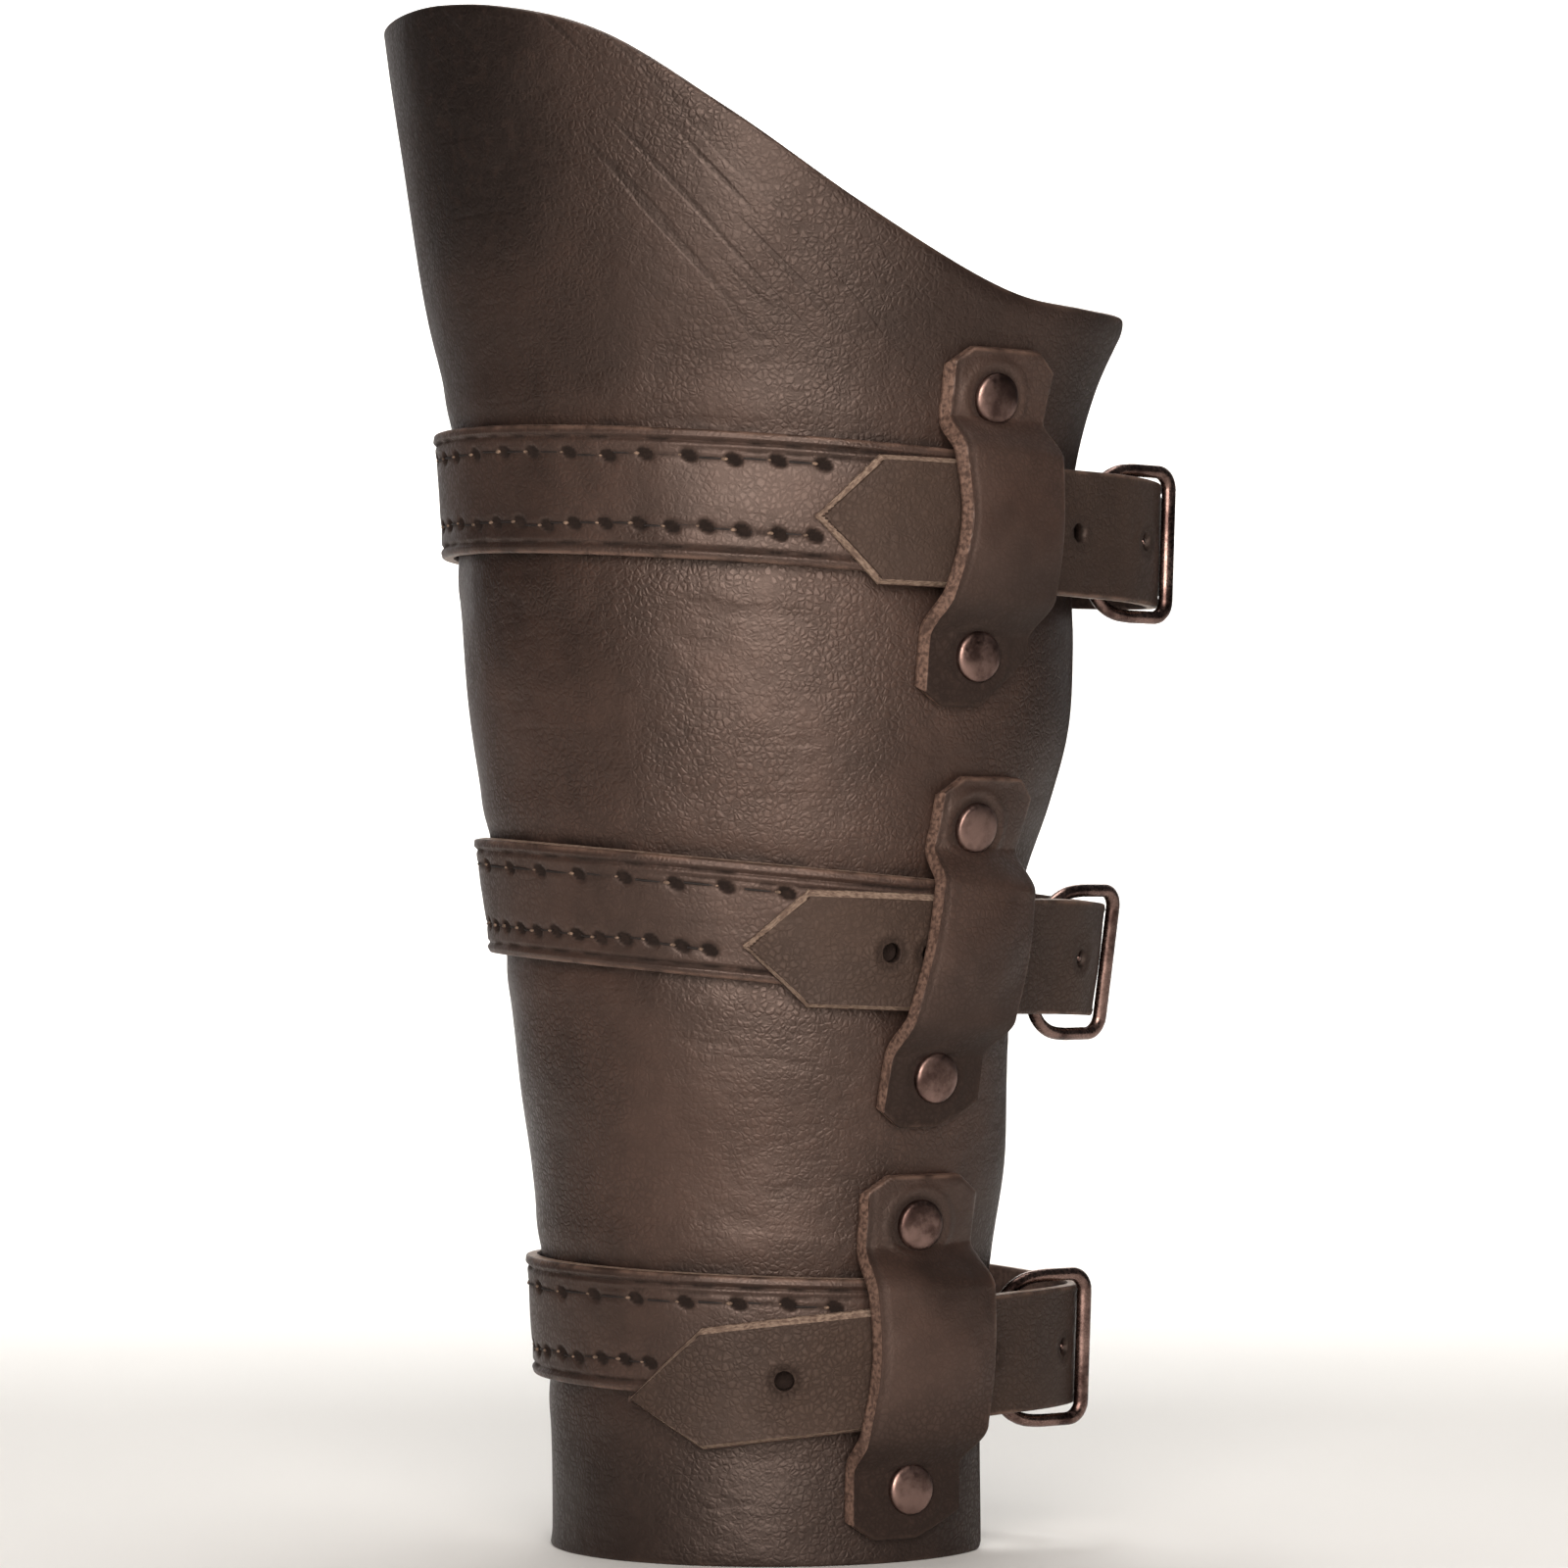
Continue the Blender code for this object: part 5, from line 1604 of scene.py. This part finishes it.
def build_keeper(belt):
    sizes = bpy.context.scene.vambrace_sizes
    place = PLACES[belt.name]
    cut = KEEPER_CUTS[belt.name]
    edge_radius = sizes.edge_rounding
    bevel = sizes.bevel * cut.bevel
    (top_theta, top), (low_theta, low) = keeper_levels(belt, place)
    pad = RIVET_CAP_RADIUS + GAP
    seat = 0.7 * pad
    flat = GAP + KEEPER_THICKNESS / 2
    over = 2 * (GAP + STRAP_THICKNESS) + KEEPER_CLEARANCE + KEEPER_THICKNESS / 2
    middle = skin((top_theta + low_theta) / 2, (top + low) / 2)
    radius = np.linalg.norm(middle[:2] - np.array([CENTRE_X, 0.0]))
    half_turn = math.degrees(KEEPER_WIDTH / 2 / radius)
    line = edged_line(KEEPER_WIDTH, edge_radius, KEEPER_COLUMNS)
    line = np.concatenate([line, bevel * np.array(CUT_COLUMNS)])
    sides = (np.sort(line) - KEEPER_WIDTH / 2) / (KEEPER_WIDTH / 2)
    columns, from_ends, low_ends = [], [], []
    for side in sides:
        clipped = KEEPER_CLIP * max(0.0, abs(side) - CLIP_FROM) / (1 - CLIP_FROM)
        middle_theta = (top_theta + low_theta) / 2 + side * half_turn
        low_edge, top_edge, leaving = tongue_edges(belt, place, middle_theta)
        low_edge -= KEEPER_CLEARANCE
        band_edge = float(band_level(belt, np.array(middle_theta))) + half_width(belt)
        top_edge += KEEPER_CLEARANCE + 0.5 * max(0.0, band_edge - top_edge)
        bottom, summit = low - KEEPER_END + clipped, top + KEEPER_END - clipped
        if side > 0:
            bottom = low - KEEPER_END + cut.clip * max(0.0, side - LOW_CLIP_FROM) / (1 - LOW_CLIP_FROM)
        levels = bottom + edged_line(summit - bottom, edge_radius, KEEPER_ROWS)
        climb = np.minimum(
            (levels - low - seat) / max(low_edge - low - seat, 0.0001),
            (top - seat - levels) / max(top - seat - top_edge, 0.0001),
        )
        # Over the strap the leather stands in an arch, and its left side is drawn in a little
        rise = np.sin(math.pi * np.clip((levels - low_edge) / (top_edge - low_edge), 0, 1))
        arch = KEEPER_ARCH * rise * (1 - ARCH_FALL * side**2)
        height = flat + (over + leaving - flat) * ease(climb) + arch
        share = (levels - low) / (top - low)
        between_rivets = np.clip((levels - low - pad) / (top - low - 2 * pad), 0, 1)
        waist = np.sin(math.pi * between_rivets) ** WAIST_POWER
        plain = cut.low + (cut.top - cut.low) * np.clip(share, 0, 1)
        drawn = plain + (cut.middle - (cut.low + cut.top) / 2) * waist
        drawn = math.degrees(1 / radius) * drawn * (1 - side) / 2
        theta = low_theta + (top_theta - low_theta) * share + side * half_turn + drawn
        columns.append(lifted(theta, levels, height))
        from_ends.append(np.minimum(levels - bottom, summit - levels))
        low_ends.append(ease(1 - share / LOW_SHADE_END))
    grid = np.array(columns)
    from_ends = np.array(from_ends)
    normals, flip = outward_normals(grid, len(sides) // 2, KEEPER_MIDDLE)
    from_left = (KEEPER_WIDTH / 2 * (1 + sides))[:, None] + 0 * from_ends
    from_right = (KEEPER_WIDTH / 2 * (1 - sides))[:, None]
    from_edge = np.minimum(np.minimum(from_left, from_right), from_ends)
    half = rounded(from_edge, KEEPER_THICKNESS / 2, edge_radius)
    # The left side is cut at a slant, so that the pale cut shows
    left = CUT_LEFT + (1 - CUT_LEFT) * np.clip(from_left / bevel, 0, 1)
    slope = KEEPER_THICKNESS * left - KEEPER_THICKNESS / 2
    bare = from_left <= bevel * 1.01
    relief = uneven(grid, KEEPER_WAVES)
    # Painted shade darkens it towards the low end
    stain_and_shade = LOW_SHADE * np.array(low_ends)
    for theta, level in keeper_levels(belt, place):
        spot = np.linalg.norm(grid - lifted(theta, level, flat), axis=-1)
        relief -= PINCH_DEPTH * ease(1 - spot / (RIVET_CAP_RADIUS * PINCH_AT))
        relief += PINCH_SWELL * swell(spot - RIVET_CAP_RADIUS * PINCH_SWELL_AT, PINCH_SWELL_BREADTH)
        # A painted shadow ring darkens the leather at the cap's rim
        wax = CAP_SHADOW * swell(spot - RIVET_CAP_RADIUS * CAP_SHADOW_AT, CAP_SHADOW_BREADTH)
        stain_and_shade = np.maximum(stain_and_shade, wax)
    line = swell(from_left - bevel - CUT_LINE_OFFSET, CUT_LINE_BREADTH)
    relief -= CUT_LINE_DEPTH * line
    stain_and_shade = np.maximum(stain_and_shade, 0.35 * line) * ~bare
    fade = ease(from_edge / KEEPER_FADE) * ~bare
    # The cut itself is a little ragged
    ragged = 0.00012 * ripple(grid, 0.0022, 23) * bare * ease(from_left / 0.0006)
    piece = leather_slab(
        belt.name + "_keeper_leather",
        grid,
        normals,
        np.minimum(half, slope) + relief * fade + ragged,
        half,
        leather_set("strap_leather_waxed", "leather_edge_burnished"),
        rubbed_and_shaded_map(from_edge, stain_and_shade),
        flip=flip,
        bare=bare,
    )
    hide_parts(belt.name + "_keeper")
    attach(piece, "root")
    return piece


# The rivets

# The dome's rise is this power of a ball's, and the lower half of the ball is pressed this flat
DOME_POWER = 0.4
DOME_FLOOR = 0.0002

# The cap sinks this far into the keeper, so its dome is drawn a little taller
CAP_SINK = 0.0002
CAP_EXTRA = 0.0003

RIVET_SIZES = (
    "Cap Radius", "Cap Height", "Seat", "Shank Radius", "Shank Length", "Back Radius", "Back Height",
)


def rivet_tree():
    """Geometry nodes: on each point a domed cap with a bevelled rim, its shank and the flat back."""
    tree, given = node_group("riveted_caps", dict.fromkeys(RIVET_SIZES, 0.0), ("Metal",))
    # The dome starts as a ball. Its lower half is pressed flat and its top is broadened
    ball = add(tree, "GeometryNodeMeshUVSphere", {"Segments": 40, "Rings": 28, "Radius": 1.0}).outputs[0]
    spot = add(tree, "GeometryNodeInputPosition").outputs[0]
    x, y, z = add(tree, "ShaderNodeSeparateXYZ", {0: spot}).outputs
    broad = math_node(tree, "POWER", math_node(tree, "MAXIMUM", z, 0.0), DOME_POWER)
    under = times(tree, math_node(tree, "MINIMUM", z, 0.0), DOME_FLOOR)
    height = math_node(tree, "ADD", under, given["Seat"])
    height = math_node(tree, "MULTIPLY_ADD", broad, given["Cap Height"], height)
    x = times(tree, x, given["Cap Radius"])
    y = times(tree, y, given["Cap Radius"])
    inputs = {"Geometry": ball, "Position": vector(tree, x, y, height)}
    cap = add(tree, "GeometryNodeSetPosition", inputs).outputs[0]

    inputs = {"Vertices": 16, "Radius": given["Shank Radius"], "Depth": given["Shank Length"]}
    shank = add(tree, "GeometryNodeMeshCylinder", inputs).outputs[0]
    down = math_node(tree, "MULTIPLY_ADD", given["Shank Length"], -0.5, given["Seat"])
    shank = moved(tree, shank, vector(tree, z=down))

    inputs = {
        "Vertices": 32,
        "Radius Top": given["Back Radius"],
        "Radius Bottom": times(tree, given["Back Radius"], 0.9),
        "Depth": given["Back Height"],
    }
    back = add(tree, "GeometryNodeMeshCone", inputs).outputs[0]
    foot = math_node(tree, "SUBTRACT", given["Seat"], given["Shank Length"])
    back = moved(tree, back, vector(tree, z=math_node(tree, "SUBTRACT", foot, given["Back Height"])))

    whole = joined(tree, cap, shank, back)
    turned = aimed(tree, "facing", "tangent")
    dots = add(tree, "GeometryNodeMeshToPoints", {"Mesh": given["Geometry"]}).outputs[0]
    return smooth_output(tree, set_out(tree, dots, whole, turned, (1.0, 1.0, 1.0), given["Metal"]))


def build_rivets():
    sizes = bpy.context.scene.vambrace_sizes
    spots, facings, tangents, replaced = [], [], [], []
    for belt in BELTS:
        for end, (theta, level) in zip(("top", "low"), keeper_levels(belt, PLACES[belt.name])):
            spots.append(skin(theta, level))
            facings.append(outward(theta, level))
            tangents.append(unit(skin(theta + 0.1, level) - skin(theta - 0.1, level)))
            replaced.append(f"{belt.name}_rivet_{end}")
    piece = dotted("rivets_domed", spots, {"facing": facings, "tangent": tangents}, {})
    seat = GAP + KEEPER_THICKNESS - CAP_SINK
    values = {
        "Cap Radius": sizes.cap_radius,
        "Cap Height": sizes.cap_height + CAP_EXTRA,
        "Seat": seat,
        "Shank Radius": RIVET_SHANK_RADIUS,
        "Shank Length": seat + WALL + GAP,
        "Back Radius": RIVET_BACK_RADIUS,
        "Back Height": RIVET_BACK_HEIGHT,
        "Metal": finishes()["brass_cap_antiqued"],
    }
    grow(piece, rivet_tree(), values)
    piece.data.set_sharp_from_angle(angle=math.radians(50))
    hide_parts(*replaced)
    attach(piece, "root")
    return piece


# The buckles

# How the prong turns up into its hole: how far ahead of the hole, in knees, and how deep
PRONG_TURN = ((1.0, 0.96), (0.45, 0.72), (0.1, 0.3), (0.0, -0.08))
PRONG_TAPER = (0.98, 0.94, 0.88, 0.78, 0.6, 0.34)

# The outer bar broadens over this distance
BAR_FADE = 0.004


def frame_outline():
    """Half of a buckle's outline, from the middle of the outer bar to the middle of the inner bar."""
    half = BUCKLE_INNER_HEIGHT / 2 + WIRE_RADIUS
    outline = [(0.0, share * half) for share in (0.0, 0.2, 0.4, 0.6)]
    for angle in np.radians(np.linspace(0, 90, 9)):
        into, short = BUCKLE_CORNER * (1 - math.cos(angle)), BUCKLE_CORNER * (1 - math.sin(angle))
        outline.append((into, half - short))
    outline += [(share * BUCKLE_DEPTH, half) for share in (0.3, 0.4)]
    outline += [(side.depth * BUCKLE_DEPTH, side.height * half) for side in BUCKLE_SIDE]
    outline += [(BUCKLE_DEPTH, share * half) for share in (0.36, 0.18, 0.0)]
    return outline


def wire(name, points, sides, across, radii, closed=False):
    """A piece of bent wire. Across is the side that its radii are counted from."""
    across = np.repeat(across[None, :], len(points), axis=0)
    verts, faces = tube(points, sides, across, radii, closed)
    return loop_mesh(name, verts, faces, np.zeros(len(faces)), [finishes()["brass_wire_antiqued"]])


def build_buckle(belt):
    sizes = bpy.context.scene.vambrace_sizes
    place = PLACES[belt.name]
    upper = frame_outline()
    outline = np.array(upper + [(into, -up) for into, up in upper[-2:0:-1]])
    outline = rounded_path(outline, 2, closed=True)
    points = place.outer - outline[:, :1] * place.along + outline[:, 1:] * place.up
    # The outer bar is rolled a little broader than the wire
    broad = ease(1 - outline[:, 0] / BAR_FADE)
    radii = np.stack([WIRE_RADIUS + 0 * broad, WIRE_RADIUS + (sizes.bar - WIRE_RADIUS) * broad], axis=1)
    piece = wire(belt.name + "_buckle_wire", points, 20, place.out, radii, closed=True)
    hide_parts(belt.name + "_buckle_frame")
    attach(piece, "root")
    return piece


def build_prong(belt):
    """A wire hooked round the inner bar that runs under the strap and turns up into its hole."""
    place = PLACES[belt.name]
    points = round_bar(place, WIRE_RADIUS + GAP + PRONG_RADIUS, np.linspace(-245, 0, 24))
    hole = belt.prong_hole * BUCKLE_DEPTH
    under = -(STRAP_THICKNESS / 2 + GAP + PRONG_RADIUS)
    knee = 1.7 * PRONG_RADIUS
    path = [(distance, under) for distance in np.linspace(place.length, hole + 2 * knee, 4)[1:]]
    path += [(hole + ahead * knee, under * depth) for ahead, depth in PRONG_TURN]
    path.append((hole, STRAP_THICKNESS / 2 - GAP))
    for distance, offset in path:
        point = strap_point(belt, place, distance, offset)[0]
        share = max(0.0, distance - hole) / (place.length - hole)
        aside = (point - place.inner).dot(place.up)
        points.append(point - place.up * aside * share)
    points = rounded_path(points, 2)
    radii = np.full((len(points), 2), PRONG_RADIUS)
    radii[-len(PRONG_TAPER) :] *= np.array(PRONG_TAPER)[:, None]
    piece = wire(belt.name + "_prong_wire", points, 14, place.up, radii)
    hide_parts(belt.name + "_prong")
    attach(piece, "root")
    return piece


# The stage
def soft_light(name, place, target, width, height, power, tone):
    light = bpy.data.lights.new(name, "AREA")
    light.shape = "RECTANGLE"
    light.size = width
    light.size_y = height
    light.energy = power
    light.color = tone
    made = new_object(name, light)
    made.location = place
    made.rotation_euler = (Vector(target) - made.location).to_track_quat("-Z", "Y").to_euler()
    return made


# The sheets of paper: the end of the floor, the radius of the bend behind it, where the floor starts,
# the top of the sheet behind, and the half widths of the two
FLOOR_END, PAPER_BEND = 0.9, 0.5
FLOOR_START, PAPER_TOP = -1.6, 1.6
FLOOR_HALF, BACK_HALF = 1.7, 0.52

# Name, place, what it points at, width, height, power in watts and tone
MIDDLE = (0.0, 0.0, 0.15)
LIGHTS = (
    ("key", (0.0, -1.42, 0.46), MIDDLE, 1.05, 0.85, 31.5, (1.0, 0.94, 0.89)),
    ("top", (0.0, 0.3, 1.7), (0.0, 0.3, 0.0), 1.0, 0.8, 16.0, (1.0, 0.99, 0.97)),
    ("back_left", (-0.75, 1.15, 0.45), MIDDLE, 0.35, 0.8, 1.0, (1.0, 0.97, 0.95)),
    ("back_right", (0.95, 1.1, 0.6), MIDDLE, 0.4, 0.8, 0.9, (1.0, 0.97, 0.95)),
    # This one faces away from the vambrace and whitens the paper behind it
    ("backdrop", (0.0, 0.55, 1.05), (0.0, 1.55, 0.75), 0.9, 0.4, 19.0, (1.0, 1.0, 1.0)),
)
SKY_STRENGTH = 0.07


def build_stage():
    scene = bpy.context.scene
    # Paper on the floor, and behind it a narrower sheet that turns up
    rows = [(FLOOR_HALF, FLOOR_START, 0.0), (FLOOR_HALF, FLOOR_END, 0.0)]
    for angle in np.radians(np.linspace(0, 90, 13)):
        rise = PAPER_BEND * (1 - math.cos(angle))
        rows.append((BACK_HALF, FLOOR_END + PAPER_BEND * math.sin(angle), rise))
    rows.append((BACK_HALF, FLOOR_END + PAPER_BEND, PAPER_TOP))
    points = [(side * half, y, z) for half, y, z in rows for side in (-1, 1)]
    faces = [[2 * k, 2 * k + 1, 2 * k + 3, 2 * k + 2] for k in range(len(rows) - 1) if k != 1]
    paper = paper_floor("paper", chosen("floor"))
    floor = loop_mesh("paper_sweep", points, faces, np.zeros(len(faces)), [paper])
    world = bpy.data.worlds.new("studio")
    world.use_nodes = True
    background = world.node_tree.nodes["Background"].inputs
    background[0].default_value = colour("e9ecf2")
    background[1].default_value = SKY_STRENGTH
    scene.world = world
    for light in LIGHTS:
        soft_light(*light)
    camera = bpy.data.cameras.new("camera")
    camera.lens = 118.4
    camera.sensor_width = 36.0
    camera.shift_y = 0.0625
    camera.clip_end = 20.0
    seen = new_object("camera", camera)
    seen.location = (0.0, -1.0, 0.128)
    seen.rotation_euler = (math.radians(90), 0.0, 0.0)
    scene.camera = seen
    scene.view_settings.view_transform = "Standard"


# Operators and the panel
def build_straps():
    tree = stitch_tree()
    for belt in BELTS:
        build_seam(belt, build_belt(belt), tree)


def build_keepers():
    for belt in BELTS:
        build_keeper(belt)


def build_buckles():
    for belt in BELTS:
        build_buckle(belt)
        build_prong(belt)


class BuildStep:
    """Runs one step of the building"""

    def execute(self, context):
        self.build()
        return {"FINISHED"}


class VAMBRACE_OT_wall(BuildStep, bpy.types.Operator):
    """Build the leather wall"""

    bl_idname = "vambrace.wall"
    bl_label = "Leather wall"
    build = staticmethod(build_wall)


class VAMBRACE_OT_straps(BuildStep, bpy.types.Operator):
    """Build the three straps with their stitching"""

    bl_idname = "vambrace.straps"
    bl_label = "Straps and stitching"
    build = staticmethod(build_straps)


class VAMBRACE_OT_keepers(BuildStep, bpy.types.Operator):
    """Build the keepers over the strap ends"""

    bl_idname = "vambrace.keepers"
    bl_label = "Keepers"
    build = staticmethod(build_keepers)


class VAMBRACE_OT_rivets(BuildStep, bpy.types.Operator):
    """Set the domed rivets"""

    bl_idname = "vambrace.rivets"
    bl_label = "Rivets"
    build = staticmethod(build_rivets)


class VAMBRACE_OT_buckles(BuildStep, bpy.types.Operator):
    """Bend the buckle frames and their prongs"""

    bl_idname = "vambrace.buckles"
    bl_label = "Buckles"
    build = staticmethod(build_buckles)


class VAMBRACE_OT_stage(BuildStep, bpy.types.Operator):
    """Set up the paper, the lights and the camera"""

    bl_idname = "vambrace.stage"
    bl_label = "Stage"
    build = staticmethod(build_stage)


STEPS = (
    VAMBRACE_OT_wall,
    VAMBRACE_OT_straps,
    VAMBRACE_OT_keepers,
    VAMBRACE_OT_rivets,
    VAMBRACE_OT_buckles,
    VAMBRACE_OT_stage,
)


class VAMBRACE_PT_panel(bpy.types.Panel):
    """Sizes, colours and building steps of the vambrace"""

    bl_label = "Leather vambrace"
    bl_idname = "VAMBRACE_PT_panel"
    bl_space_type = "VIEW_3D"
    bl_region_type = "UI"
    bl_category = "Vambrace"

    def draw(self, context):
        layout = self.layout
        for settings in (context.scene.vambrace_sizes, context.scene.vambrace_colours):
            box = layout.box()
            for name in settings.__annotations__:
                box.prop(settings, name)
        for step in STEPS:
            layout.operator(step.bl_idname)


CLASSES = (VambraceSizes, VambraceColours, *STEPS, VAMBRACE_PT_panel)


def register():
    for found in CLASSES:
        bpy.utils.register_class(found)
    bpy.types.Scene.vambrace_sizes = bpy.props.PointerProperty(type=VambraceSizes)
    bpy.types.Scene.vambrace_colours = bpy.props.PointerProperty(type=VambraceColours)


def unregister():
    del bpy.types.Scene.vambrace_colours
    del bpy.types.Scene.vambrace_sizes
    for found in reversed(CLASSES):
        bpy.utils.unregister_class(found)


def main():
    register()
    for step in STEPS:
        group, name = step.bl_idname.split(".")
        getattr(getattr(bpy.ops, group), name)()


if __name__ == "__main__":
    main()
